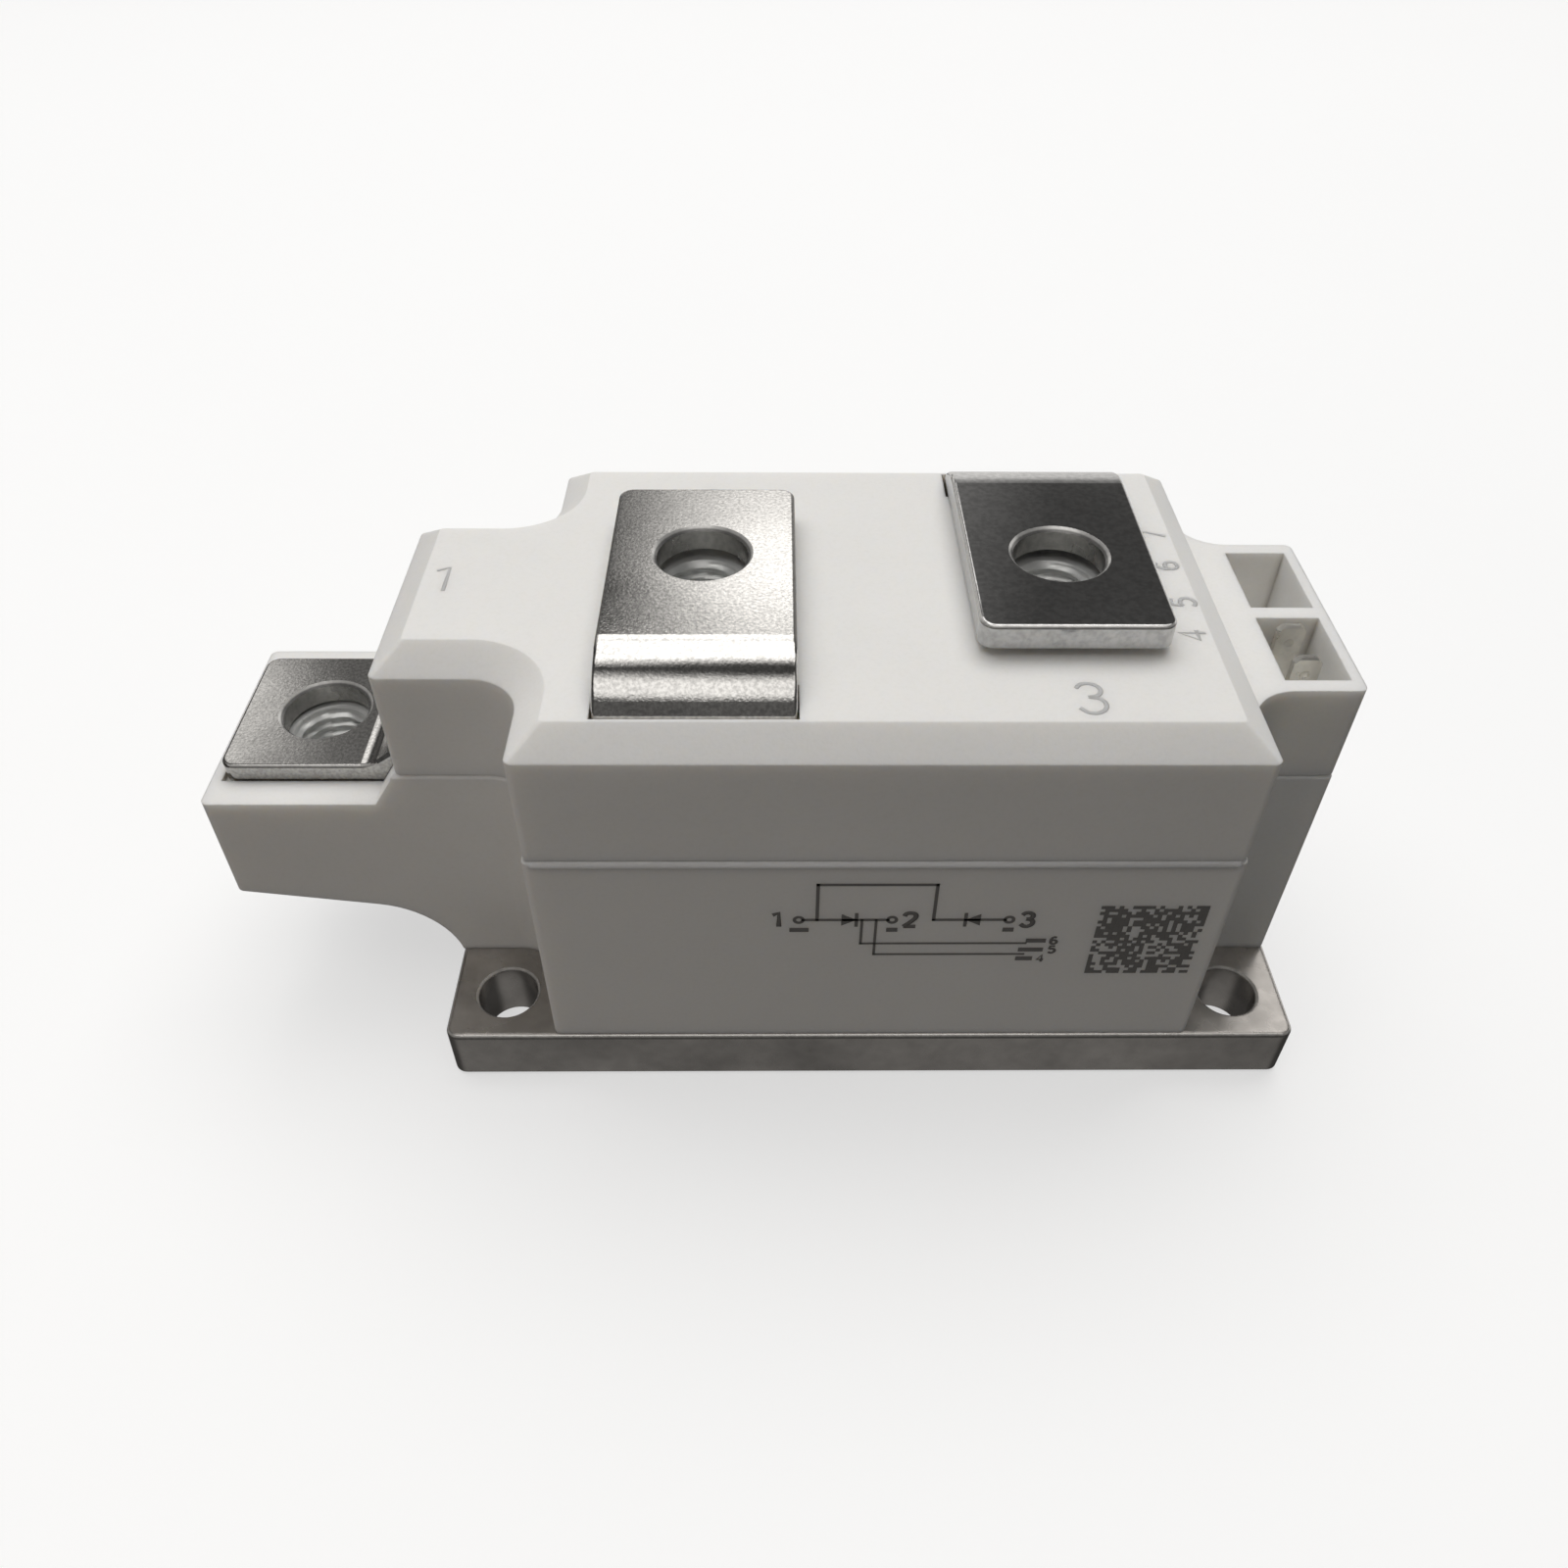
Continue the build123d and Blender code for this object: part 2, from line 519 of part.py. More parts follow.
def make_faston_tab(y):
    """Upright 2.8 mm blade with chamfered tip, a detent dimple, a shoulder and a soldering tail."""
    half = FASTON_WIDTH / 2
    shoulder = FASTON_SHOULDER_WIDTH / 2
    tail = FASTON_TAIL_WIDTH / 2
    shoulder_z = SEAM_Z - FASTON_SHOULDER_HEIGHT
    right = [
        (tail, FASTON_TAIL_Z),
        (tail, shoulder_z),
        (shoulder, shoulder_z),
        (shoulder, SEAM_Z),
        (half, SEAM_Z),
        (half, FASTON_TOP_Z - FASTON_TIP),
        (half - FASTON_TIP, FASTON_TOP_Z),
    ]
    outline = make_face(Polyline(*right, *[(-x, z) for x, z in reversed(right)], close=True))
    blade = extrude(Plane.XZ * outline, FASTON_THICK / 2, both=True)
    tip = blade.edges().filter_by(Axis.X).group_by(Axis.Z)[-1]
    blade = chamfer(tip, FASTON_DIMPLE_DEPTH)
    ball_y = -FASTON_THICK / 2 + FASTON_DIMPLE_DEPTH - FASTON_DIMPLE_R
    blade -= Pos(0, ball_y, FASTON_TOP_Z - FASTON_DIMPLE_DROP) * Sphere(FASTON_DIMPLE_R)
    return Pos(FASTON_X, y, 0) * blade


# Pressure stacks


def make_ceramic_plate():
    """Insulating plate of one stack, drilled for the clamp screws' sleeves."""
    plan = fillet(Rectangle(CERAMIC_LENGTH, CERAMIC_WIDTH).vertices(), CERAMIC_CORNER_R)
    plate = Pos(CERAMIC_X, 0, PLATE_THICK) * extrude(plan, CERAMIC_THICK)
    for y in (-CLAMP_SCREW_Y, CLAMP_SCREW_Y):
        plate -= disc(SLEEVE_HOLE_R, PLATE_THICK, BAR_BASE_Z, STACK_X, y)
    return plate


def make_pellet():
    """Silicon pellet with a bevelled rim."""
    pellet = disc(PELLET_R, PELLET_Z, UPPER_DISC_Z)
    return chamfer(pellet.edges().filter_by(GeomType.CIRCLE).sort_by(Axis.Z)[-1], PELLET_THICK / 2)


def make_pressure_insulator():
    """Plastic disc between the live contact and the spring, grooved below for the gate lead."""
    groove_half = LEAD_R + GROOVE_GAP
    groove_top = INSULATOR_Z + 2 * LEAD_R + GATE_GAP
    body = disc(PRESSURE_INSULATOR_R, INSULATOR_Z, PRESSURE_DISC_Z)
    body -= disc(GATE_HEAD_R + GROOVE_GAP, INSULATOR_Z, groove_top)
    return body - box(0, PRESSURE_INSULATOR_R, -groove_half, groove_half, INSULATOR_Z, groove_top)


def make_disc_springs():
    """Conical washers, stacked alternately face to face and back to back."""
    rise = SPRING_HEIGHT
    side = Polyline(
        (SPRING_OUTER_R, 0),
        (SPRING_OUTER_R, SPRING_THICK),
        (SPRING_INNER_R + SPRING_FLAT, rise),
        (SPRING_INNER_R, rise),
        (SPRING_INNER_R, SPRING_CONE),
        (SPRING_OUTER_R - SPRING_FLAT, 0),
        close=True,
    )
    washer = revolve(Plane.XZ * make_face(side), Axis.Z)
    flipped = Pos(0, 0, rise) * Rot(180, 0, 0) * washer
    stack = [Pos(0, 0, SPRING_Z + i * rise) * (flipped if i % 2 else washer) for i in range(SPRING_COUNT)]
    return Compound(stack)


def make_clamp_bridge():
    """Steel bar that two screws pull down on the springs."""
    plan = fillet(Rectangle(BRIDGE_WIDTH, BRIDGE_LENGTH).vertices(), BRIDGE_CORNER_R)
    bridge = Pos(0, 0, BRIDGE_Z) * extrude(plan, BRIDGE_THICK)
    for y in (-CLAMP_SCREW_Y, CLAMP_SCREW_Y):
        bridge -= disc(SLEEVE_INNER_R, BRIDGE_Z, CLAMP_HEAD_Z, 0, y)
    return bridge


def make_clamp_screws():
    """Four hexagon-head screws that hold the bridges to the base plate."""
    screw = disc(CLAMP_SCREW_R, PLATE_THICK - CLAMP_SCREW_BITE, CLAMP_HEAD_Z)
    screw += hexagon(CLAMP_HEAD_FLATS, CLAMP_HEAD_Z, CLAMP_HEAD_Z + CLAMP_HEAD_HEIGHT)
    return Compound([place * screw for place in GridLocations(TERMINAL_PITCH, 2 * CLAMP_SCREW_Y, 2, 2)])


def make_screw_sleeves():
    """Four insulating tubes around the clamp screws."""
    sleeve = disc(SLEEVE_OUTER_R, PLATE_THICK, BRIDGE_Z) - disc(SLEEVE_INNER_R, PLATE_THICK, BRIDGE_Z)
    return Compound([place * sleeve for place in GridLocations(TERMINAL_PITCH, 2 * CLAMP_SCREW_Y, 2, 2)])


# Gate contact and leads


def make_gate_pin():
    """Pin that stands on the thyristor pellet's gate, with a head that the lead is welded to."""
    pin = disc(GATE_PIN_R, UPPER_DISC_Z, INSULATOR_Z, STACK_X)
    return pin + disc(GATE_HEAD_R, INSULATOR_Z, INSULATOR_Z + GATE_HEAD_THICK, STACK_X)


def make_gate_bush():
    """Insulating tube between the gate pin and the contact around it."""
    tube = disc(GATE_BUSH_R, UPPER_DISC_Z, INSULATOR_Z, STACK_X)
    return tube - disc(GATE_PIN_R + GATE_GAP, UPPER_DISC_Z, INSULATOR_Z, STACK_X)


def make_lead(start_x, turn, lead_z, tab_y):
    """Insulated wire from a contact at the right stack to the tail of a fast-on tab."""
    route = FilletPolyline(
        (start_x, 0, lead_z),
        (FASTON_X - turn, 0, lead_z),
        (FASTON_X, tab_y, lead_z),
        (FASTON_X, tab_y, FASTON_TAIL_Z),
        radius=LEAD_BEND_R,
    )
    return sweep(Plane(origin=route @ 0, z_dir=route % 0) * Circle(LEAD_R), path=route)


def make_pieces():
    """Every piece of the module by name."""
    ceramic_right = make_ceramic_plate()
    upper_disc = disc(UPPER_DISC_R, UPPER_DISC_Z, CONTACT_Z)
    gate_hole = disc(GATE_HOLE_R, UPPER_DISC_Z, CONTACT_Z, STACK_X)
    gate_lead_z = INSULATOR_Z + LEAD_R + GATE_GAP
    pieces = {
        "base_plate": make_base_plate(),
        "housing_frame": make_housing_frame(),
        "housing_cover": make_housing_cover(),
        "terminal_1_bar": make_terminal_1_bar(),
        "terminal_2_bar": make_terminal_2_bar(),
        "terminal_3_bar": make_terminal_3_bar(),
        "midpoint_link": make_midpoint_link(),
        "terminal_1_nut": make_nut(TERMINAL_1_X, TERMINAL_1_NUT_Z),
        "terminal_2_nut": make_nut(-STACK_X, ROOF_NUT_Z),
        "terminal_3_nut": make_nut(STACK_X, ROOF_NUT_Z),
        "gate_tab": make_faston_tab(FASTON_GATE_Y),
        "auxiliary_cathode_tab": make_faston_tab(FASTON_AUXILIARY_Y),
        "ceramic_plate_left": mirror(ceramic_right, about=Plane.YZ),
        "ceramic_plate_right": ceramic_right,
        "clamp_screws": make_clamp_screws(),
        "screw_sleeves": make_screw_sleeves(),
        "gate_pin": make_gate_pin(),
        "gate_bush": make_gate_bush(),
        "gate_lead": make_lead(STACK_X + GATE_HEAD_R, GATE_LEAD_TURN, gate_lead_z, FASTON_GATE_Y),
        "auxiliary_cathode_lead": make_lead(
            STACK_X + CONTACT_REACH,
            AUXILIARY_LEAD_TURN,
            CONTACT_Z + BAR_THICK / 2,
            FASTON_AUXILIARY_Y,
        ),
    }
    pieces["diode_pellet"], pieces["thyristor_pellet"] = both_stacks(make_pellet())
    pieces["upper_disc_left"], pieces["upper_disc_right"] = both_stacks(upper_disc)
    pieces["upper_disc_right"] -= gate_hole
    paired = {
        "lower_disc": disc(LOWER_DISC_R, LOWER_DISC_Z, PELLET_Z),
        "pressure_insulator": make_pressure_insulator(),
        "pressure_disc": disc(PRESSURE_DISC_R, PRESSURE_DISC_Z, SPRING_Z),
        "disc_springs": make_disc_springs(),
        "clamp_bridge": make_clamp_bridge(),
    }
    for name, piece in paired.items():
        pieces[name + "_left"], pieces[name + "_right"] = both_stacks(piece)
    return pieces


if __name__ == "__main__":
    os.makedirs("parts", exist_ok=True)
    for name, piece in make_pieces().items():
        export_step(piece, f"parts/{name}.step")
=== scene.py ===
"""Looks of a thyristor and diode power module: materials, threads, numerals, print, light and camera."""

import json
import math
from random import Random

import bmesh
import bpy
from mathutils import Matrix, Vector


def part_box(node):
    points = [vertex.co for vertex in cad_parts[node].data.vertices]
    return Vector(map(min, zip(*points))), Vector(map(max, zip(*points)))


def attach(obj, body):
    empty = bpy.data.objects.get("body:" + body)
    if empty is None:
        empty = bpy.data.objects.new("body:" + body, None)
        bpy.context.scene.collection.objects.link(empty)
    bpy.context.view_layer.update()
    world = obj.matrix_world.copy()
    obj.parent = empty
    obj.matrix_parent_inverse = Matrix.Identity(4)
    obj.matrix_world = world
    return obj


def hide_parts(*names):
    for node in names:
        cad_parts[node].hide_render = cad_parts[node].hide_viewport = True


MM = 0.001
ROOT = "root"

# Camera, fitted to the photograph's corners
CAMERA_PLACE = Vector((-10.332, -104.244, 119.550)) * MM
CAMERA_PITCH = math.radians(43.10)
CAMERA_YAW = math.radians(1.035)
CAMERA_ROLL = math.radians(-0.714)
CAMERA_LENS = 28.71
CAMERA_SENSOR = 36.0
CAMERA_SHIFT = (-0.0053, -0.0048)
CAMERA_CLIP = (0.005, 50)

# Lamps: a wide overhead panel, and a small panel low at the front left
KEY_SIZE = (1.6, 0.85)
KEY_PLACE = Vector((-0.12, 0.36, 1.0))
KEY_POWER = 7.6
KEY_COLOUR = (1.0, 1.0, 1.0)
FILL_SIZE = (0.16, 0.16)
FILL_PLACE = Vector((-0.26, -0.24, 0.13))
FILL_POWER = 0.11
FILL_COLOUR = (1.0, 0.89, 0.79)

# Floor, and the backdrop where the camera looks past it
FLOOR_SIZE = 6.0
FLOOR_COLOUR = (0.42, 0.42, 0.418)
FLOOR_CLOUDS = (6, 2)
FLOOR_CLOUD_SHADE = 0.985
FLOOR_ROUGHNESS = 0.9
FLOOR_GLOW = 0.58
BACKDROP_COLOUR = (0.93, 0.93, 0.93)

# Room that the metal mirrors: dim, with soft panels. A panel is, in degrees, its azimuth from the back (+Y)
# towards +X and the width of its two soft sides, its elevation and the width of its soft bottom and top,
# and then its brightness
ROOM_COLOUR = (1.0, 0.978, 0.948)
ROOM_BASE = 0.056
ROOM_PANELS = {
    "left_window": ((-38, -29), (5, 10), (22, 50), (12, 8), 0.54),
    "left_low_window": ((-38, -26), (5, 5), (30, 37.2), (6, 2), 0.50),
    "left_glow": ((-36, -16), (8, 8), (33, 50), (6, 6), 0.07),
    "back_window": ((-5.2, 4.5), (10, 5), (30, 36.2), (16, 1.4), 1.8),
    "back_glow": ((5, 11), (4, 8), (14, 40), (6, 6), 0.10),
    "back_horizon": ((-25, 75), (20, 20), (-24, 19), (6, 24), 0.60),
    "ceiling_rim": ((-14, 10), (3, 4), (38, 46), (1.5, 4), 1.7),
    "ceiling_low": ((-22, 60), (8, 14), (47, 65), (4, 8), 1.7),
    "ceiling_back": ((-65, 60), (14, 14), (65, 78), (8, 14), 1.7),
    "front_ceiling": ((105, 255), (30, 30), (56, 79), (5, 14), 1.05),
    "front_wall": ((160, 200), (20, 20), (-20, 55), (6, 6), 0.05),
    "front_floor": ((130, 230), (30, 30), (-46, -24), (6, 6), 0.18),
    "near_floor": ((130, 230), (30, 30), (-75, -46), (6, 6), 0.12),
}

# Surfaces: a noise pattern is its cells per metre and its detail, a band is where a ramp starts and ends
WHITE = (1, 1, 1)
NOISE_BAND = (0.3, 0.7)
FULL_BAND = (0.0, 1.0)
SHADER_SAMPLES = 2

# Moulded plastic of the housing
HOUSING_COLOUR = (0.866, 0.857, 0.836)
# Lighter copy of the housing plastic for the seam lip, a painted highlight
LIP_HIGHLIGHT_COLOUR = (0.98, 0.97, 0.95)
PLASTIC_SOCKETS = {
    "Specular IOR Level": 0.35,
    "Subsurface Weight": 0.5,
    "Subsurface Scale": 2.5 * MM,
    "Subsurface Radius": (1.0, 0.9, 0.75),
}
PLASTIC_ROUGHNESS = (0.46, 0.60)
PLASTIC_GLOSS = (240, 3)
PLASTIC_CLOUDS = (55, 4)
PLASTIC_CLOUD_SHADE = 0.965
PLASTIC_SPECKS = (2600, 2)
PLASTIC_SPECK_COLOUR = (0.975, 0.975, 0.97)
PLASTIC_SPECK_BAND = (0.25, 0.55)
PLASTIC_GRAIN = (3200, 2)
PLASTIC_GRAIN_DEPTH = 0.012 * MM
PLASTIC_EDGE = 0.25 * MM
# Painted shade in crevices: where an upright face comes close to another face, it darkens towards the colour
# below
CREVICE_REACH = 0.8 * MM
CREVICE_SHADE_COLOUR = (0.42, 0.40, 0.38)
CREVICE_BAND = (0.2, 0.7)
UPRIGHT_BAND = (0.3, 0.6)

# Plated metal: its specks are coarser than its grain, and its roughness varies between two shares of itself
METAL_CLOUDS = (90, 4)
METAL_GLOSS = (160, 4)
METAL_WAVES = (110, 2)
METAL_SPECK_SCALE = 0.7
METAL_SPECK_DETAIL = 4
METAL_SPECK_BAND = (0.35, 0.62)
METAL_GRAIN_DETAIL = 3
METAL_GLOSS_SHARES = (0.75, 1.3)
# Upright faces darken across this band of levelness, a painted shade
METAL_SIDE_SHADE_BAND = (0.15, 0.5)

# Finishes of plated metal. Grain is cells per metre and a depth, and depth, wave and edge are in millimetres
# side is the share of colour left on upright faces, a painted shade
PLATED_METALS = {
    "plate": dict(
        name="plated_base", colour=(0.70, 0.67, 0.64), roughness=0.27, grain=(900, 0.006),
        smudge=0.42, wave=0.10, edge=0.3,
    ),
    "coarse_bar": dict(
        name="plated_copper_coarse", colour=(0.88, 0.87, 0.85), roughness=0.08, grain=(4200, 0.0055),
        speckle=0.30, wave=0.03, side=0.6, edge=0.12,
    ),
    "grainy_bar": dict(
        name="plated_copper_grainy", colour=(0.94, 0.93, 0.91), roughness=0.08, grain=(4200, 0.0065),
        speckle=0.32, wave=0.03, side=0.9, edge=0.12,
    ),
    "smooth_bar": dict(
        name="plated_copper_smooth", colour=(0.90, 0.90, 0.90), roughness=0.06, grain=(2400, 0.0012),
        speckle=0.22, wave=0.03, side=0.62, edge=0.12,
    ),
    # The wall of a terminal's hole: a darker copy of the plating, a painted shade
    "bore": dict(
        name="plated_bore_shaded", colour=(0.50, 0.49, 0.47), roughness=0.28, grain=(2400, 0.004),
        speckle=0.2,
    ),
    "nut": dict(
        name="zinc_nut", colour=(0.93, 0.94, 0.93), roughness=0.22, grain=(1500, 0.008),
        metallic=0.5,
    ),
    "tab": dict(
        name="tinned_tab", colour=(0.96, 0.94, 0.88), roughness=0.30, grain=(1500, 0.006),
        edge=0.12, metallic=0.9,
    ),
    "zinc": dict(
        name="zinc_screw", colour=(0.70, 0.70, 0.68), roughness=0.32, grain=(1500, 0.006),
        smudge=0.2,
    ),
}

# Finishes of the print and of the inner pieces
PLAIN_SOLIDS = {
    "ink": dict(name="front_print_ink", colour=(0.19, 0.185, 0.18), roughness=0.6),
    "spring": dict(name="spring_steel", colour=(0.32, 0.33, 0.36), roughness=0.35, metallic=1.0),
    "ceramic": dict(name="white_ceramic", colour=(0.85, 0.85, 0.82), roughness=0.45),
    "tube": dict(name="insulating_tube", colour=(0.55, 0.28, 0.12), roughness=0.5),
    "lead": dict(name="lead_sleeve", colour=(0.60, 0.08, 0.06), roughness=0.5),
    "pin": dict(name="bright_pin", colour=(0.80, 0.78, 0.74), roughness=0.25, metallic=1.0),
    "silicon": dict(name="silicon", colour=(0.22, 0.24, 0.30), roughness=0.2, metallic=1.0),
    "molybdenum": dict(name="molybdenum", colour=(0.45, 0.45, 0.47), roughness=0.4, metallic=1.0),
}
PLAIN_CLOUDS = (400, 4)
PLAIN_CLOUD_SHADE = 0.88
PLAIN_GRAIN = (2500, 2)
PLAIN_GRAIN_DEPTH = 0.01 * MM
PLAIN_EDGE = 0.15 * MM

# Edges of the metal: a face whose normal rises between two slopes, close to the height of the top face.
# A painted highlight fades into a painted shade between two depths below that height. Round a terminal's hole
# lie its rim and its bore
EDGE_SLOPE = (0.05, 0.93)
EDGE_HIGHLIGHT_FADE = (0.16 * MM, 0.28 * MM)
EDGE_METALLIC = 0.65
EDGE_ROUGHNESS = 0.24
# Share of the edge colour left at the foot of the edge, a painted shade
EDGE_FOOT_SHADE = 0.30
EDGE_GRAIN = (2400, 3)
EDGE_GRAIN_DEPTH = 0.005 * MM
EDGE_SPECK_SHADE = 0.82
EDGE_SPECK_BAND = (0.35, 0.6)
EDGE_RADIUS = 0.1 * MM
BAR_EDGE_REACH = 0.5 * MM
BAR_RIM_RADIUS = 5.6 * MM
BAR_BORE_RADIUS = 4.8 * MM
# Painted highlight on the bars' edges
BAR_HIGHLIGHT_COLOUR = (0.97, 0.96, 0.94)
# Painted dark reflection along two terminals' outlines
BAR_DARK_REFLECTION_COLOUR = (0.22, 0.21, 0.20)
BACK_NORMAL_Y = 0.2
LEFT_NORMAL_X = -0.3
PLATE_EDGE_REACH = 0.55 * MM
# Painted highlight on the base plate's edges
PLATE_HIGHLIGHT_COLOUR = (0.90, 0.88, 0.85)

# Finish of each material slot of the record, and of the bars, which differ
SLOT_FINISH = {
    "plated_copper": "grainy_bar",
    "plated_base": "plate",
    "housing_plastic": "housing",
    "nut_steel": "nut",
    "tab_metal": "tab",
    "zinc_steel": "zinc",
    "spring_steel": "spring",
    "white_ceramic": "ceramic",
    "insulating_tube": "tube",
    "lead_sleeve": "lead",
    "bright_pin": "pin",
    "silicon": "silicon",
    "molybdenum": "molybdenum",
}
NODE_FINISH = {
    "terminal_1_bar": "coarse_bar",
    "terminal_2_bar": "grainy_bar",
    "terminal_3_bar": "smooth_bar",
}

# Nut: an M8 thread in a crowned hexagon, with a small chamfer at each mouth
NUT_TURN_STEPS = 72
NUT_TURNS = [2 * math.pi * step / NUT_TURN_STEPS for step in range(NUT_TURN_STEPS)]
NUT_CROWN_SLOPE = math.tan(math.radians(30))
NUT_CROWN_SHARE = 0.97
NUT_WELD_DISTANCE = 1e-7
THREAD_PITCH = 1.25 * MM
THREAD_MAJOR_R = 4.0 * MM
THREAD_MINOR_R = 3.4 * MM
THREAD_MOUTH_R = THREAD_MAJOR_R + 0.15 * MM
THREAD_STEPS = 8
THREAD_STEEPNESS = 1.6

# Lip along the top edge of the housing frame, just under the cover
LIP_RADIUS = 0.42 * MM
LIP_INSET = 0.14 * MM
LIP_END_INSET = 0.8 * MM
LIP_SECTION_STEPS = 3

# Strokes of the plain numerals 1 to 7, one unit high about their centre: True for a rounded stroke
DIGIT_STROKES = {
    "1": [(False, [(-0.27, 0.36), (0.03, 0.5), (0.03, -0.5)])],
    "2": [
        (True, [
            (-0.28, 0.27), (-0.2, 0.44), (0.0, 0.5), (0.22, 0.43),
            (0.28, 0.22), (0.12, -0.06), (-0.3, -0.5),
        ]),
        (False, [(-0.3, -0.5), (0.3, -0.5)]),
    ],
    "3": [
        (True, [(-0.27, 0.34), (-0.14, 0.48), (0.12, 0.48), (0.26, 0.3), (0.18, 0.1), (-0.04, 0.04)]),
        (True, [(-0.04, 0.04), (0.21, -0.03), (0.3, -0.24), (0.18, -0.45), (-0.08, -0.5), (-0.3, -0.33)]),
    ],
    "4": [(False, [(0.14, -0.5), (0.14, 0.5), (-0.3, -0.18), (0.32, -0.18)])],
    "5": [
        (False, [(0.25, 0.5), (-0.2, 0.5), (-0.25, 0.06)]),
        (True, [
            (-0.25, 0.06), (0.0, 0.13), (0.25, -0.02), (0.27, -0.28),
            (0.08, -0.48), (-0.12, -0.5), (-0.3, -0.38),
        ]),
    ],
    "6": [
        (True, [
            (0.22, 0.42), (0.02, 0.5), (-0.2, 0.32), (-0.29, -0.08), (-0.2, -0.42), (0.02, -0.5),
            (0.24, -0.38), (0.27, -0.14), (0.08, 0.05), (-0.14, 0.03), (-0.28, -0.14),
        ]),
    ],
    "7": [(False, [(-0.3, 0.5), (0.3, 0.5), (-0.08, -0.5)])],
}
DIGIT_SECTION_STEPS = 2
DIGIT_CURVE_STEPS = 6

# Numerals raised on the roof, in millimetres: text, place in X and Y, height, turn in degrees
NUMERAL_STROKE = 0.42
NUMERAL_RELIEF = 0.035
ROOF_NUMERALS = {
    "numeral_1": ("1", -43.2, 0.3, 4.1, 0),
    "numeral_2": ("2", -17.5, 15.5, 4.1, 0),
    "numeral_3": ("3", 17.8, -18.2, 4.1, 0),
    "numeral_4": ("4", 29.3, -8.8, 2.5, 90),
    "numeral_5": ("5", 29.6, -3.4, 2.3, 90),
    "numeral_6": ("6", 29.4, 3.0, 2.2, 90),
    "numeral_7": ("7", 29.4, 8.7, 2.4, 90),
}

# Front print, in millimetres across and up the front wall: a schematic of two rectifiers
PRINT_THICK = 0.02 * MM
PRINT_LINE = 0.33
GATE_PRINT_LINE = PRINT_LINE * 0.8
MAIN_LINE_Z = 25.8
LOOP_LINE_Z = 30.9
LOOP_X = (-6.3, 5.1)
RING_X = (-8.1, 1.05, 12.55)
RING_R = 0.42
RING_STEPS = 24
SYMBOL_X = (-3.5, 9.3)
SYMBOL_REACH = 1.05
SYMBOL_RISE = 0.85
SYMBOL_FOOT_SHARE = 0.4
GATE_LINE_Z = (22.2, 20.5)
GATE_DROP_X = (-1.9, -0.5)
GATE_END_X = 14.6

# Printed numbers: text and place, and their height and stroke
PRINT_DIGITS = {
    "print_digit_1": ("1", -10.1, MAIN_LINE_Z),
    "print_digit_2": ("2", 2.8, MAIN_LINE_Z),
    "print_digit_3": ("3", 14.3, MAIN_LINE_Z),
}
PRINT_DIGIT_SIZE = (2.0, 0.52)
GATE_DIGITS = {
    "gate_digit_4": ("4", 16.4, 19.8),
    "gate_digit_5": ("5", 17.4, 21.2),
    "gate_digit_6": ("6", 17.4, 22.6),
}
GATE_DIGIT_SIZE = (1.05, 0.30)

# Plain bars where the print has small letters: left end, height and length
LABEL_BARS = (
    (-8.7, 24.3, 1.3),
    (0.85, 24.3, 0.5),
    (12.35, 24.3, 0.5),
    (14.9, 22.6, 1.4),
    (14.3, 21.2, 1.9),
    (14.2, 19.8, 1.1),
)
LABEL_BAR_WIDTH = 0.6

# Square field of small dark cells, which stand at random
PATTERN_X = (21.3, 31.9)
PATTERN_Z = (17.4, 27.8)
PATTERN_CELLS = 24
PATTERN_DARK_SHARE = 0.64
PATTERN_SEED = 3


def shaded(colour, share):
    """A colour at a share of its brightness."""
    return tuple(part * share for part in colour)


def new_material(name, metallic, roughness):
    """An empty principled material, its node tree and its shader."""
    material = bpy.data.materials.new(name)
    material.use_nodes = True
    tree = material.node_tree
    shader = tree.nodes["Principled BSDF"]
    shader.inputs["Metallic"].default_value = metallic
    shader.inputs["Roughness"].default_value = roughness
    return material, tree, shader


def add_noise(tree, pattern):
    """Noise in the object's own metres."""
    cells, detail = pattern
    place = tree.nodes.new("ShaderNodeTexCoord")
    noise = tree.nodes.new("ShaderNodeTexNoise")
    noise.inputs["Scale"].default_value = cells
    noise.inputs["Detail"].default_value = detail
    tree.links.new(place.outputs["Object"], noise.inputs["Vector"])
    return noise.outputs["Fac"]


def add_ramp(tree, value, low, high, band=NOISE_BAND):
    """A colour that runs from low to high as value crosses a band."""
    ramp = tree.nodes.new("ShaderNodeValToRGB")
    ramp.color_ramp.elements[0].position = band[0]
    ramp.color_ramp.elements[0].color = (*low, 1)
    ramp.color_ramp.elements[1].position = band[1]
    ramp.color_ramp.elements[1].color = (*high, 1)
    tree.links.new(value, ramp.inputs["Fac"])
    return ramp.outputs["Color"]


def add_range(tree, value, low, high, band=NOISE_BAND):
    """A number that runs from low to high as value crosses a band."""
    scaled = tree.nodes.new("ShaderNodeMapRange")
    scaled.inputs["From Min"].default_value = band[0]
    scaled.inputs["From Max"].default_value = band[1]
    scaled.inputs["To Min"].default_value = low
    scaled.inputs["To Max"].default_value = high
    tree.links.new(value, scaled.inputs["Value"])
    return scaled.outputs["Result"]


def add_relief(tree, shader, layers, edge_radius):
    """Layers of relief, each a height and its depth, on edges that look rounded to a radius, in metres."""
    edge = tree.nodes.new("ShaderNodeBevel")
    edge.samples = SHADER_SAMPLES
    edge.inputs["Radius"].default_value = edge_radius
    normal = edge.outputs["Normal"]
    for height, depth in layers:
        bump = tree.nodes.new("ShaderNodeBump")
        bump.inputs["Distance"].default_value = depth
        bump.inputs["Strength"].default_value = 1.0
        tree.links.new(normal, bump.inputs["Normal"])
        tree.links.new(height, bump.inputs["Height"])
        normal = bump.outputs["Normal"]
    tree.links.new(normal, shader.inputs["Normal"])


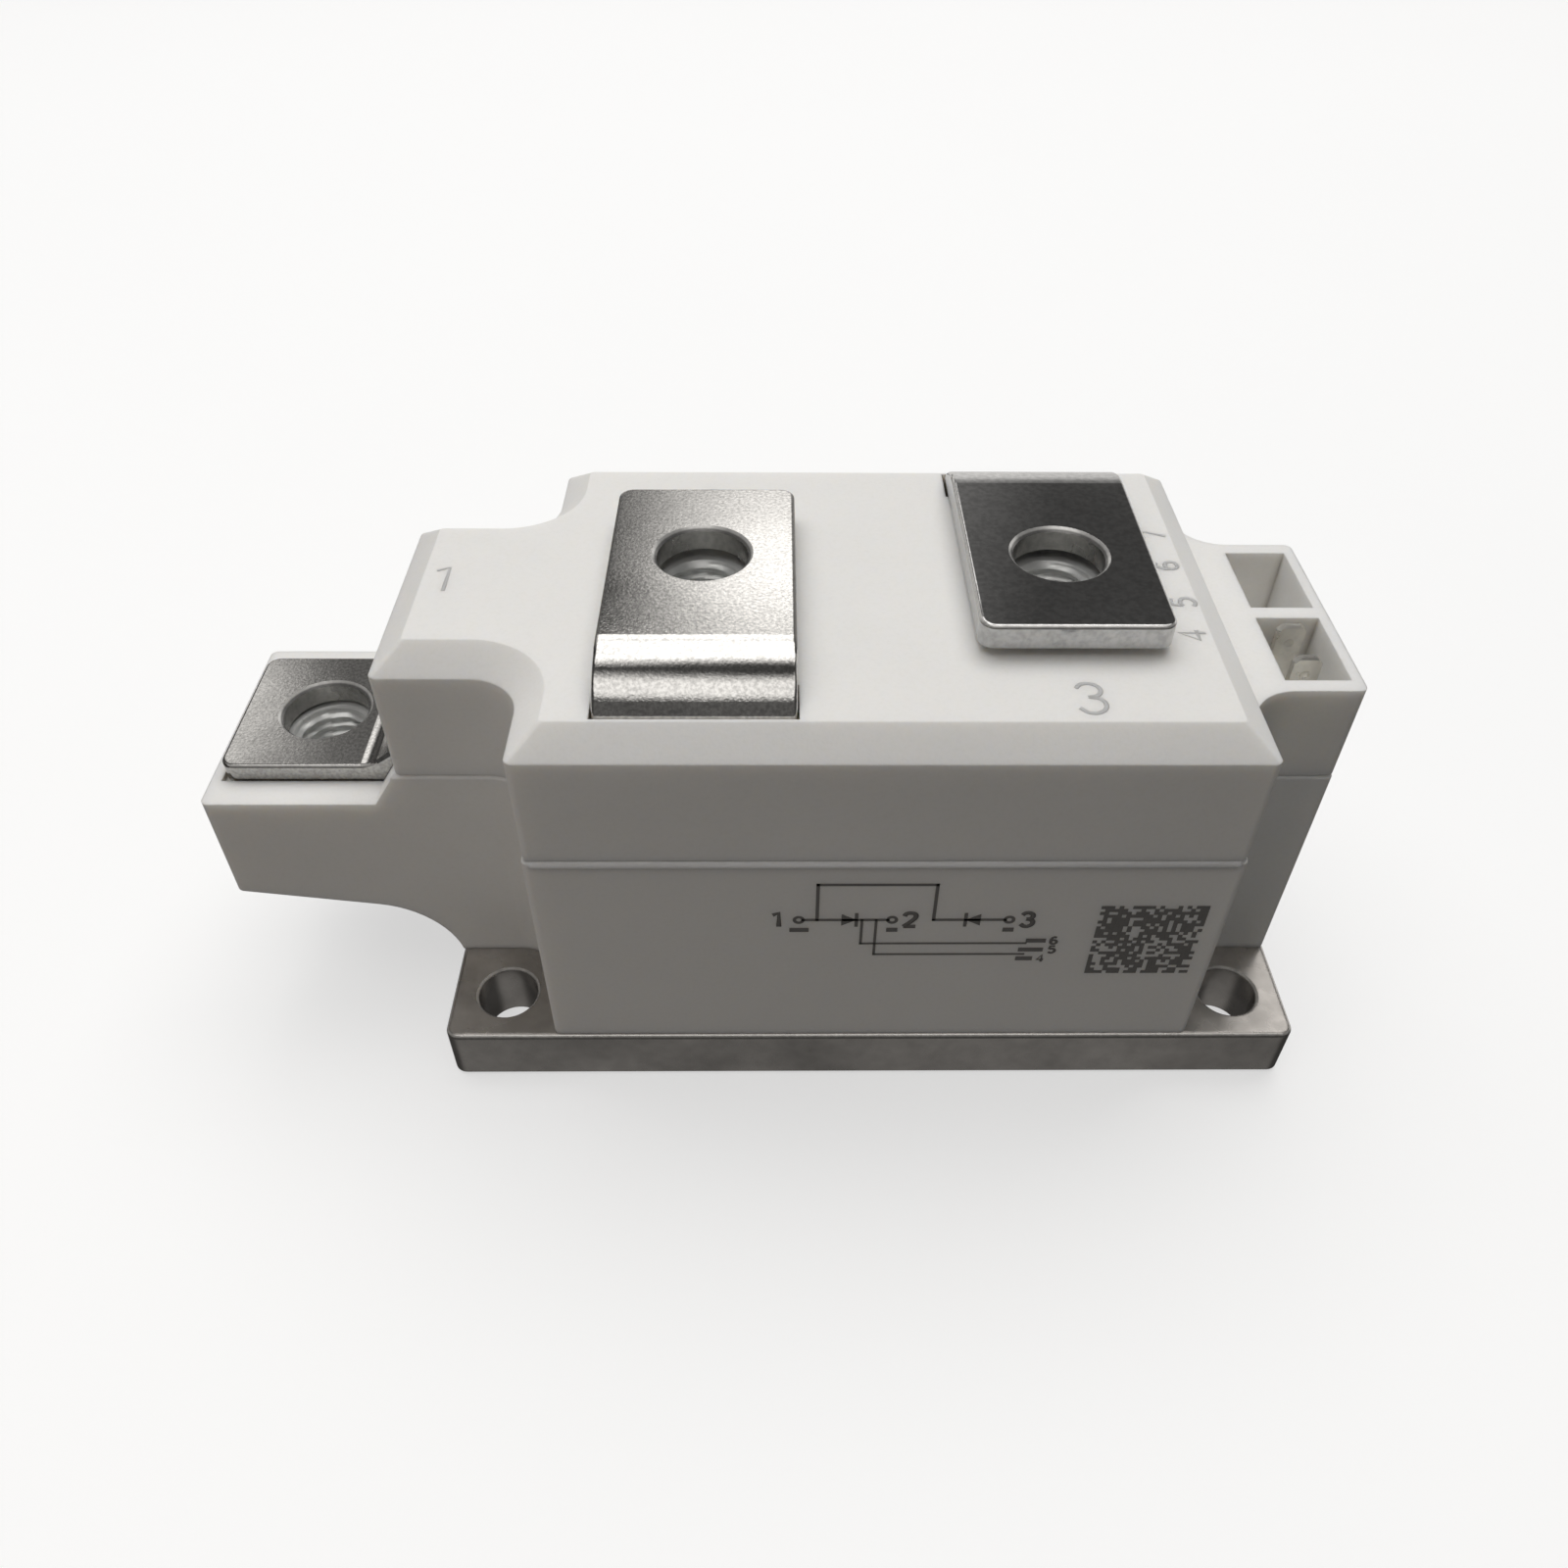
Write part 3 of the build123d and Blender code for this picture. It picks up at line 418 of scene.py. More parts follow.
def add_levelness(tree):
    """How level a surface lies: 0 for an upright face, 1 for a flat one."""
    surface = tree.nodes.new("ShaderNodeNewGeometry")
    parts = tree.nodes.new("ShaderNodeSeparateXYZ")
    size = tree.nodes.new("ShaderNodeMath")
    size.operation = "ABSOLUTE"
    tree.links.new(surface.outputs["Normal"], parts.inputs["Vector"])
    tree.links.new(parts.outputs["Z"], size.inputs[0])
    return size.outputs["Value"]


def add_crevice_shade(tree):
    """A painted shade that falls to dark where an upright face comes close to another face."""
    hollow = tree.nodes.new("ShaderNodeAmbientOcclusion")
    hollow.samples = SHADER_SAMPLES
    hollow.inputs["Distance"].default_value = CREVICE_REACH
    lit = add_range(tree, add_levelness(tree), 0.0, 1.0, UPRIGHT_BAND)
    openness = tree.nodes.new("ShaderNodeMath")
    openness.operation = "MAXIMUM"
    tree.links.new(hollow.outputs["AO"], openness.inputs[0])
    tree.links.new(lit, openness.inputs[1])
    return add_ramp(tree, openness.outputs["Value"], CREVICE_SHADE_COLOUR, WHITE, CREVICE_BAND)


def multiply(tree, first, second):
    """Product of two colours."""
    mix = tree.nodes.new("ShaderNodeMix")
    mix.data_type = "RGBA"
    mix.blend_type = "MULTIPLY"
    mix.inputs["Factor"].default_value = 1.0
    tree.links.new(first, mix.inputs["A"])
    tree.links.new(second, mix.inputs["B"])
    return mix.outputs["Result"]


def moulded_plastic(name, colour, shade_crevices=True, edge_radius=PLASTIC_EDGE):
    """Matt moulded plastic: faint mottling, fine grain, softly rounded edges and a painted shade in crevices.
    """
    low, high = PLASTIC_ROUGHNESS
    material, tree, shader = new_material(name, 0.0, low)
    for socket, value in PLASTIC_SOCKETS.items():
        shader.inputs[socket].default_value = value
    clouds = add_ramp(tree, add_noise(tree, PLASTIC_CLOUDS), shaded(colour, PLASTIC_CLOUD_SHADE), colour)
    speck_noise = add_noise(tree, PLASTIC_SPECKS)
    specks = add_ramp(tree, speck_noise, PLASTIC_SPECK_COLOUR, WHITE, PLASTIC_SPECK_BAND)
    tone = multiply(tree, clouds, specks)
    # Painted shade in the crevices
    if shade_crevices:
        tone = multiply(tree, tone, add_crevice_shade(tree))
    tree.links.new(tone, shader.inputs["Base Color"])
    gloss = add_range(tree, add_noise(tree, PLASTIC_GLOSS), low, high)
    tree.links.new(gloss, shader.inputs["Roughness"])
    add_relief(tree, shader, [(add_noise(tree, PLASTIC_GRAIN), PLASTIC_GRAIN_DEPTH)], edge_radius)
    return material


def plated_metal(
    name, colour, roughness, grain, smudge=0.15, speckle=0.1, wave=0.0, side=1.0, edge=0.2, metallic=1.0
):
    """Plated metal with grain, smudges, specks and waves, and upright faces darkened to the share side, a
    painted shade.
    """
    material, tree, shader = new_material(name, metallic, roughness)
    cells, depth = grain
    clouds = add_ramp(tree, add_noise(tree, METAL_CLOUDS), shaded(colour, 1 - smudge), colour)
    speck_noise = add_noise(tree, (cells * METAL_SPECK_SCALE, METAL_SPECK_DETAIL))
    specks = add_ramp(tree, speck_noise, shaded(WHITE, 1 - speckle), WHITE, METAL_SPECK_BAND)
    # Painted shade: upright faces darkened to the share side
    sides = add_ramp(tree, add_levelness(tree), shaded(WHITE, side), WHITE, METAL_SIDE_SHADE_BAND)
    tone = multiply(tree, multiply(tree, clouds, specks), sides)
    tree.links.new(tone, shader.inputs["Base Color"])
    low, high = METAL_GLOSS_SHARES
    gloss = add_range(tree, add_noise(tree, METAL_GLOSS), roughness * low, roughness * high)
    tree.links.new(gloss, shader.inputs["Roughness"])
    waves = (add_noise(tree, METAL_WAVES), wave * MM)
    grains = (add_noise(tree, (cells, METAL_GRAIN_DETAIL)), depth * MM)
    add_relief(tree, shader, [waves, grains], edge * MM)
    return material


def edge_light_and_shade_metal(name, colour, top):
    """Plating with a painted highlight on the upper part of an edge that ends at height top, and a painted
    shade under it.
    """
    material, tree, shader = new_material(name, EDGE_METALLIC, EDGE_ROUGHNESS)
    place = tree.nodes.new("ShaderNodeTexCoord")
    parts = tree.nodes.new("ShaderNodeSeparateXYZ")
    tree.links.new(place.outputs["Object"], parts.inputs["Vector"])
    # The painted highlight fades into painted shade down the edge
    lit_share = add_range(tree, parts.outputs["Z"], 0.0, 1.0, (top - EDGE_HIGHLIGHT_FADE[1], top - EDGE_HIGHLIGHT_FADE[0]))
    tone = add_ramp(tree, lit_share, shaded(colour, EDGE_FOOT_SHADE), colour, FULL_BAND)
    grain = add_noise(tree, EDGE_GRAIN)
    specks = add_ramp(tree, grain, shaded(WHITE, EDGE_SPECK_SHADE), WHITE, EDGE_SPECK_BAND)
    tree.links.new(multiply(tree, tone, specks), shader.inputs["Base Color"])
    add_relief(tree, shader, [(grain, EDGE_GRAIN_DEPTH)], EDGE_RADIUS)
    return material


def plain_solid(name, colour, roughness, metallic=0.0):
    """Plain material with mottled tone and fine grain."""
    material, tree, shader = new_material(name, metallic, roughness)
    tone = add_ramp(tree, add_noise(tree, PLAIN_CLOUDS), shaded(colour, PLAIN_CLOUD_SHADE), colour)
    tree.links.new(tone, shader.inputs["Base Color"])
    add_relief(tree, shader, [(add_noise(tree, PLAIN_GRAIN), PLAIN_GRAIN_DEPTH)], PLAIN_EDGE)
    return material


def make_materials():
    """One material for each finish."""
    materials = {
        "housing": moulded_plastic("housing_plastic", HOUSING_COLOUR),
        # The seam lip: the housing plastic lightened as a painted highlight, without the painted crevice
        # shade
        "lip": moulded_plastic("housing_lip_highlight", LIP_HIGHLIGHT_COLOUR, shade_crevices=False),
        "numeral": moulded_plastic("housing_numeral", HOUSING_COLOUR, shade_crevices=False, edge_radius=0.0),
    }
    for finish, values in PLATED_METALS.items():
        materials[finish] = plated_metal(**values)
    for finish, values in PLAIN_SOLIDS.items():
        materials[finish] = plain_solid(**values)
    return materials


def finish_nodes(frame, materials):
    """Gives every CAD node its finish: the bars by name, the rest by their slot in the record."""
    slots = {entry["node"]: entry["material_slot"] for entry in frame["record"]["subparts"]}
    for name, node in frame["nodes"].items():
        finish = NODE_FINISH.get(name) or SLOT_FINISH[slots[name]]
        node.data.materials.clear()
        node.data.materials.append(materials[finish])


def at_outline(face, hole):
    """Whether a face lies on a terminal's outline, away from the rim of its hole."""
    return (face.center.xy - hole).length >= BAR_RIM_RADIUS


def at_back_or_left(face, hole):
    """Whether a face lies on the back or the left part of a terminal's outline."""
    return at_outline(face, hole) and (face.normal.y > BACK_NORMAL_Y or face.normal.x < LEFT_NORMAL_X)


def paint_edge_light_and_shade(node, name, colour, reach, hole=None, wanted=None):
    """Gives the rounded and chamfered edges at a node's top face their own finish, a painted highlight or a
    painted dark edge in the given colour, all or the wanted ones.
    """
    mesh = node.data
    corners = [corner.co for corner in mesh.vertices]
    top = max(corner.z for corner in corners if hole is None or (corner.xy - hole).length < BAR_RIM_RADIUS)
    mesh.materials.append(edge_light_and_shade_metal(f"{node.name}_{name}", colour, top))
    for face in mesh.polygons:
        heights = [corners[i].z for i in face.vertices]
        sloped = EDGE_SLOPE[0] < face.normal.z < EDGE_SLOPE[1]
        at_top = top - reach < min(heights) and max(heights) < top + reach
        if sloped and at_top and (wanted is None or wanted(face, hole)):
            face.material_index = len(mesh.materials) - 1


def shade_bore(node, hole, material):
    """Gives the sheared wall of a terminal's hole its own darker finish, a painted shade."""
    node.data.materials.append(material)
    for face in node.data.polygons:
        upright = abs(face.normal.z) < EDGE_SLOPE[0]
        if upright and (face.center.xy - hole).length < BAR_BORE_RADIUS:
            face.material_index = len(node.data.materials) - 1


def paint_edge_and_bore_shading(nodes, bore_shade_material):
    """Edges of the terminals and the base plate: painted highlights, but painted dark reflections along two
    terminals' outlines, and painted shade on the terminals' bores.
    """
    # Two terminals' outlines get a painted dark reflection
    dark_reflection_parts = {1: at_back_or_left, 2: at_outline}
    for number in (1, 2, 3):
        low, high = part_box(f"terminal_{number}_nut")
        hole = ((low + high) / 2).xy
        bar = nodes[f"terminal_{number}_bar"]
        # Painted shade on the bore wall
        shade_bore(bar, hole, bore_shade_material)
        paint_edge_light_and_shade(bar, "painted_highlight_edge", BAR_HIGHLIGHT_COLOUR, BAR_EDGE_REACH, hole)
        if number in dark_reflection_parts:
            paint_edge_light_and_shade(bar, "painted_dark_edge", BAR_DARK_REFLECTION_COLOUR, BAR_EDGE_REACH, hole, dark_reflection_parts[number])
    paint_edge_light_and_shade(nodes["base_plate"], "painted_highlight_edge", PLATE_HIGHLIGHT_COLOUR, PLATE_EDGE_REACH)


def add_piece(name, mesh, material):
    """A mesh piece of the object, riding on its one body."""
    piece = bpy.data.objects.new(name, mesh)
    bpy.context.scene.collection.objects.link(piece)
    piece.data.materials.clear()
    piece.data.materials.append(material)
    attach(piece, ROOT)
    return piece


def hexagon_radius(turn, flats, flat_turn):
    """Distance from the axis to a hexagon's edge at an angle."""
    sixth = math.pi / 3
    off = (turn - flat_turn + sixth / 2) % sixth - sixth / 2
    return flats / 2 / math.cos(off)


def ring_points(radii, heights, centre):
    """One ring of points round a vertical axis."""
    points = []
    for turn, radius, height in zip(NUT_TURNS, radii, heights):
        x = centre.x + radius * math.cos(turn)
        y = centre.y + radius * math.sin(turn)
        points.append(Vector((x, y, height)))
    return points


def level_ring(radius, height, centre):
    """One round and level ring of points."""
    return ring_points([radius] * NUT_TURN_STEPS, [height] * NUT_TURN_STEPS, centre)


def thread_radius(turn, height):
    """Radius of the threaded bore, from its crest to its root along the helix."""
    phase = (height / THREAD_PITCH - turn / (2 * math.pi)) % 1.0
    share = min(1.0, THREAD_STEEPNESS * (1 - abs(2 * phase - 1)))
    return THREAD_MINOR_R + (THREAD_MAJOR_R - THREAD_MINOR_R) * share


def outer_rings(low, high, centre):
    """Rings of a nut from its bottom bore edge round the outside to its top bore edge."""
    flats = min(high.x - low.x, high.y - low.y)
    flat_turn = 0.0 if high.x - low.x < high.y - low.y else math.pi / 2
    outline = [hexagon_radius(turn, flats, flat_turn) for turn in NUT_TURNS]
    crown_r = flats / 2 * NUT_CROWN_SHARE
    drop = [(radius - crown_r) * NUT_CROWN_SLOPE for radius in outline]
    return [
        level_ring(THREAD_MOUTH_R, low.z, centre),
        level_ring(crown_r, low.z, centre),
        ring_points(outline, [low.z + fall for fall in drop], centre),
        ring_points(outline, [high.z - fall for fall in drop], centre),
        level_ring(crown_r, high.z, centre),
        level_ring(THREAD_MOUTH_R, high.z, centre),
    ]


def thread_rings(low, high, centre):
    """Rings of a nut from the top to the bottom of its threaded bore, which is chamfered at both ends."""
    rings = []
    rows = round((high.z - low.z) / THREAD_PITCH * THREAD_STEPS)
    for row in range(rows + 1):
        height = high.z - (high.z - low.z) * row / rows
        from_end = min(high.z - height, height - low.z)
        chamfer_r = THREAD_MOUTH_R - min(from_end, THREAD_MOUTH_R - THREAD_MINOR_R)
        radii = [max(chamfer_r, thread_radius(turn, height)) for turn in NUT_TURNS]
        rings.append(ring_points(radii, [height] * NUT_TURN_STEPS, centre))
    return rings


def make_nut(node, material):
    """A threaded nut that stands for a plain CAD nut."""
    low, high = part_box(node)
    centre = (low + high) / 2
    mesh = bpy.data.meshes.new(node + "_threaded")
    work = bmesh.new()
    rings = outer_rings(low, high, centre) + thread_rings(low, high, centre)
    rows = [[work.verts.new(point) for point in ring] for ring in rings]
    for first, second in zip(rows, rows[1:]):
        for step in range(NUT_TURN_STEPS):
            after = (step + 1) % NUT_TURN_STEPS
            work.faces.new((first[step], first[after], second[after], second[step]))
    bmesh.ops.remove_doubles(work, verts=work.verts, dist=NUT_WELD_DISTANCE)
    bmesh.ops.recalc_face_normals(work, faces=work.faces)
    work.to_mesh(mesh)
    work.free()
    piece = add_piece(node + "_threaded", mesh, material)
    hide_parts(node)


def new_curve(name, radius, section_steps):
    """An empty curve in space with a round section."""
    curve = bpy.data.curves.new(name, "CURVE")
    curve.dimensions = "3D"
    curve.bevel_depth = radius
    curve.bevel_resolution = section_steps
    curve.use_fill_caps = True
    return curve


def curve_to_mesh(name, curve):
    """The mesh of a curve with its round section."""
    source = bpy.data.objects.new(name + "_source", curve)
    bpy.context.scene.collection.objects.link(source)
    bpy.context.view_layer.update()
    mesh = bpy.data.meshes.new_from_object(source.evaluated_get(bpy.context.evaluated_depsgraph_get()))
    bpy.data.objects.remove(source)
    bpy.data.curves.remove(curve)
    return mesh


def digit_mesh(name, digit, height, stroke, thickness):
    """A plain numeral of rounded strokes, in millimetres, standing on its own XY plane."""
    curve = new_curve(name, stroke / 2 * MM, DIGIT_SECTION_STEPS)
    curve.resolution_u = DIGIT_CURVE_STEPS
    for rounded, points in DIGIT_STROKES[digit]:
        spline = curve.splines.new("BEZIER")
        spline.bezier_points.add(len(points) - 1)
        for knot, (x, y) in zip(spline.bezier_points, points):
            knot.co = (x * height * MM, y * height * MM, 0)
            knot.handle_left_type = knot.handle_right_type = "AUTO" if rounded else "VECTOR"
    mesh = curve_to_mesh(name, curve)
    mesh.transform(Matrix.Scale(thickness / stroke, 4, (0, 0, 1)))
    return mesh


def make_roof_numerals(material, roof_z):
    """Plain raised numerals on the cover beside the terminals and the gate sockets."""
    for name, (digit, x, y, height, turn) in ROOF_NUMERALS.items():
        mesh = digit_mesh(name, digit, height, NUMERAL_STROKE, 2 * NUMERAL_RELIEF)
        place = Matrix.Translation((x * MM, y * MM, roof_z))
        mesh.transform(place @ Matrix.Rotation(math.radians(turn), 4, "Z"))
        mesh.shade_smooth()
        add_piece(name, mesh, material)


def lip_path(wall_x, wall_y, inward):
    """Points of a lip along a wall, with both ends hidden in it."""
    left = min(wall_x) + LIP_END_INSET
    right = max(wall_x) - LIP_END_INSET
    hidden_y = wall_y + inward * 2 * LIP_RADIUS
    shown_y = wall_y + inward * LIP_INSET
    return [
        (left - LIP_END_INSET, hidden_y),
        (left, shown_y),
        (right, shown_y),
        (right + LIP_END_INSET, hidden_y),
    ]


def make_seam_lips(frame, material):
    """The rounded lip that the frame shows under the cover, along its front and back walls."""
    low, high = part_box("housing_frame")
    height = high.z - LIP_RADIUS
    corners = [corner.co for corner in frame["nodes"]["housing_frame"].data.vertices]
    for name, wall_y, inward in (("front_seam_lip", low.y, 1), ("back_seam_lip", high.y, -1)):
        wall_x = [corner.x for corner in corners if abs(corner.y - wall_y) < LIP_INSET]
        path = lip_path(wall_x, wall_y, inward)
        curve = new_curve(name, LIP_RADIUS, LIP_SECTION_STEPS)
        spline = curve.splines.new("POLY")
        spline.points.add(len(path) - 1)
        for point, (x, y) in zip(spline.points, path):
            point.co = (x, y, height, 1)
        mesh = curve_to_mesh(name, curve)
        mesh.shade_smooth()
        add_piece(name, mesh, material)


def add_prism(work, corners, front_y):
    """A thin flat shape on the front wall, from its corners across and up."""
    back = [work.verts.new((c.x, front_y, c.y)) for c in corners]
    face = [work.verts.new((c.x, front_y - PRINT_THICK, c.y)) for c in corners]
    work.faces.new(face)
    count = len(corners)
    for i in range(count):
        j = (i + 1) % count
        work.faces.new((back[i], back[j], face[j], face[i]))


def add_bar(work, x0, z0, x1, z1, width, front_y):
    """A straight printed line of a width, on the front wall."""
    start = Vector((x0, z0)) * MM
    end = Vector((x1, z1)) * MM
    along = (end - start).normalized() * width * MM / 2
    side = Vector((-along.y, along.x))
    corners = [start - along - side, end + along - side, end + along + side, start - along + side]
    add_prism(work, corners, front_y)


def add_ring(work, x, z, front_y):
    """A small open circle of the schematic."""
    centre = Vector((x, z)) * MM
    inner = (RING_R - PRINT_LINE / 2) * MM
    outer = (RING_R + PRINT_LINE / 2) * MM
    turns = [2 * math.pi * step / RING_STEPS for step in range(RING_STEPS + 1)]
    spokes = [Vector((math.cos(turn), math.sin(turn))) for turn in turns]
    for near, far in zip(spokes, spokes[1:]):
        corners = [centre + near * outer, centre + far * outer, centre + far * inner, centre + near * inner]
        add_prism(work, corners, front_y)


def add_rectifier(work, x, front_y, facing):
    """A rectifier symbol: a filled triangle and a bar, facing +1 or -1 along X."""
    tip = x + facing * SYMBOL_REACH
    foot = x - facing * SYMBOL_REACH * SYMBOL_FOOT_SHARE
    corners = [
        Vector((foot, MAIN_LINE_Z + SYMBOL_RISE)) * MM,
        Vector((foot, MAIN_LINE_Z - SYMBOL_RISE)) * MM,
        Vector((tip, MAIN_LINE_Z)) * MM,
    ]
    add_prism(work, corners, front_y)
    add_bar(work, tip, MAIN_LINE_Z - SYMBOL_RISE, tip, MAIN_LINE_Z + SYMBOL_RISE, PRINT_LINE, front_y)


def finish_print(name, work, material):
    """Turns printed shapes into one piece."""
    bmesh.ops.recalc_face_normals(work, faces=work.faces)
    mesh = bpy.data.meshes.new(name)
    work.to_mesh(mesh)
    work.free()
    add_piece(name, mesh, material)


def make_schematic(material, front_y):
    """The printed schematic: two rectifiers, three terminals and two gate lines."""
    work = bmesh.new()
    first, middle, last = RING_X
    loop_left, loop_right = LOOP_X
    main_lines = (
        (first + RING_R, MAIN_LINE_Z, middle - RING_R, MAIN_LINE_Z),
        (loop_left, MAIN_LINE_Z, loop_left, LOOP_LINE_Z),
        (loop_left, LOOP_LINE_Z, loop_right, LOOP_LINE_Z),
        (loop_right, LOOP_LINE_Z, loop_right, MAIN_LINE_Z),
        (loop_right, MAIN_LINE_Z, last - RING_R, MAIN_LINE_Z),
    )
    for ends in main_lines:
        add_bar(work, *ends, PRINT_LINE, front_y)
    for drop_x, gate_z in zip(GATE_DROP_X, GATE_LINE_Z):
        add_bar(work, drop_x, MAIN_LINE_Z, drop_x, gate_z, GATE_PRINT_LINE, front_y)
        add_bar(work, drop_x, gate_z, GATE_END_X, gate_z, GATE_PRINT_LINE, front_y)
    for x in RING_X:
        add_ring(work, x, MAIN_LINE_Z, front_y)
    for x, facing in zip(SYMBOL_X, (1, -1)):
        add_rectifier(work, x, front_y, facing)
    for x, z, length in LABEL_BARS:
        add_bar(work, x, z, x + length, z, LABEL_BAR_WIDTH, front_y)
    finish_print("schematic_print", work, material)


def make_print_digits(digits, size, material, front_y):
    """Plain printed numbers, upright on the front wall."""
    height, stroke = size
    upright = Matrix.Rotation(math.radians(90), 4, "X")
    for name, (digit, x, z) in digits.items():
        mesh = digit_mesh(name, digit, height, stroke, 2 * PRINT_THICK / MM)
        mesh.transform(Matrix.Translation((x * MM, front_y, z * MM)) @ upright)
        add_piece(name, mesh, material)


def make_pattern(material, front_y):
    """A square field of small dark cells."""
    work = bmesh.new()
    chance = Random(PATTERN_SEED)
    width = (PATTERN_X[1] - PATTERN_X[0]) / PATTERN_CELLS
    height = (PATTERN_Z[1] - PATTERN_Z[0]) / PATTERN_CELLS
    for column in range(PATTERN_CELLS):
        for row in range(PATTERN_CELLS):
            if chance.random() < PATTERN_DARK_SHARE:
                x = PATTERN_X[0] + column * width
                z = PATTERN_Z[0] + row * height
                cell = ((x, z), (x + width, z), (x + width, z + height), (x, z + height))
                add_prism(work, [Vector(corner) * MM for corner in cell], front_y)
    finish_print("square_pattern_print", work, material)


def make_floor():
    """A plain pale floor at the foot of the object, which lights nothing else."""
    half = FLOOR_SIZE / 2
    corners = [(-half, -half, 0), (half, -half, 0), (half, half, 0), (-half, half, 0)]
    mesh = bpy.data.meshes.new("floor")
    mesh.from_pydata(corners, [], [(0, 1, 2, 3)])
    floor = bpy.data.objects.new("floor", mesh)
    bpy.context.scene.collection.objects.link(floor)
    material, tree, shader = new_material("floor_paper", 0.0, FLOOR_ROUGHNESS)
    dark = shaded(FLOOR_COLOUR, FLOOR_CLOUD_SHADE)
    tone = add_ramp(tree, add_noise(tree, FLOOR_CLOUDS), dark, FLOOR_COLOUR)
    tree.links.new(tone, shader.inputs["Base Color"])
    shader.inputs["Emission Color"].default_value = (*WHITE, 1)
    shader.inputs["Emission Strength"].default_value = FLOOR_GLOW
    floor.data.materials.append(material)
    floor.visible_diffuse = False
    floor.visible_glossy = False


def add_panel_light(name, place, size, power, colour):
    """A soft panel that points at the object and isn't mirrored in its metal."""
    lamp = bpy.data.lights.new(name, "AREA")
    lamp.shape = "RECTANGLE"
    lamp.size, lamp.size_y = size
    lamp.energy = power
    lamp.color = colour
    holder = bpy.data.objects.new(name, lamp)
    holder.location = place
    holder.rotation_mode = "QUATERNION"
    holder.rotation_quaternion = (-place).to_track_quat("-Z", "Y")
    holder.visible_camera = False
    holder.visible_glossy = False
    bpy.context.scene.collection.objects.link(holder)


def add_math(tree, operation, first, second=None):
    """One arithmetic node of the world, on sockets or numbers."""
    node = tree.nodes.new("ShaderNodeMath")
    node.operation = operation
    for socket, value in zip(node.inputs, (first, second)):
        if isinstance(value, (int, float)):
            socket.default_value = value
        elif value is not None:
            tree.links.new(value, socket)
    return node.outputs["Value"]


def add_soft_step(tree, value, start, end):
    """A smooth step from 0 at start to 1 at end."""
    node = tree.nodes.new("ShaderNodeMapRange")
    node.interpolation_type = "SMOOTHSTEP"
    node.inputs["From Min"].default_value = start
    node.inputs["From Max"].default_value = end
    tree.links.new(value, node.inputs["Value"])
    return node.outputs["Result"]


def add_soft_band(tree, value, ends, soft):
    """1 between two ends, falling to 0 over the two soft widths."""
    rise = add_soft_step(tree, value, ends[0] - soft[0] / 2, ends[0] + soft[0] / 2)
    fall = add_soft_step(tree, value, ends[1] + soft[1] / 2, ends[1] - soft[1] / 2)
    return add_math(tree, "MULTIPLY", rise, fall)


def add_direction(tree):
    """Azimuth and elevation of each direction of the world, in degrees."""
    place = tree.nodes.new("ShaderNodeTexCoord")
    parts = tree.nodes.new("ShaderNodeSeparateXYZ")
    tree.links.new(place.outputs["Generated"], parts.inputs["Vector"])
    to_degrees = 180 / math.pi
    turn = add_math(tree, "ARCTAN2", parts.outputs["X"], parts.outputs["Y"])
    rise = add_math(tree, "ARCSINE", parts.outputs["Z"])
    return add_math(tree, "MULTIPLY", turn, to_degrees), add_math(tree, "MULTIPLY", rise, to_degrees)


def add_room_light(tree):
    """Brightness of the room in each direction: its soft panels on its dim base."""
    azimuth, elevation = add_direction(tree)
    whole_turn = add_math(tree, "FLOORED_MODULO", azimuth, 360)
    light = None
    for sides, side_soft, heights, height_soft, level in ROOM_PANELS.values():
        around = add_soft_band(tree, whole_turn if sides[1] > 180 else azimuth, sides, side_soft)
        up = add_soft_band(tree, elevation, heights, height_soft)
        panel = add_math(tree, "MULTIPLY", add_math(tree, "MULTIPLY", around, up), level)
        light = panel if light is None else add_math(tree, "ADD", light, panel)
    return add_math(tree, "ADD", light, ROOM_BASE)


def make_room():
    """A dim room with soft bright panels, and a pale backdrop where the camera looks past the floor."""
    world = bpy.data.worlds.new("room")
    bpy.context.scene.world = world
    world.use_nodes = True
    tree = world.node_tree
    room = tree.nodes["Background"]
    room.inputs["Color"].default_value = (*ROOM_COLOUR, 1)
    tree.links.new(add_room_light(tree), room.inputs["Strength"])
    backdrop = tree.nodes.new("ShaderNodeBackground")
    backdrop.inputs["Color"].default_value = (*BACKDROP_COLOUR, 1)
    seen = tree.nodes.new("ShaderNodeLightPath")
    choice = tree.nodes.new("ShaderNodeMixShader")
    tree.links.new(seen.outputs["Is Camera Ray"], choice.inputs["Fac"])
    tree.links.new(room.outputs["Background"], choice.inputs[1])
    tree.links.new(backdrop.outputs["Background"], choice.inputs[2])
    tree.links.new(choice.outputs["Shader"], tree.nodes["World Output"].inputs["Surface"])


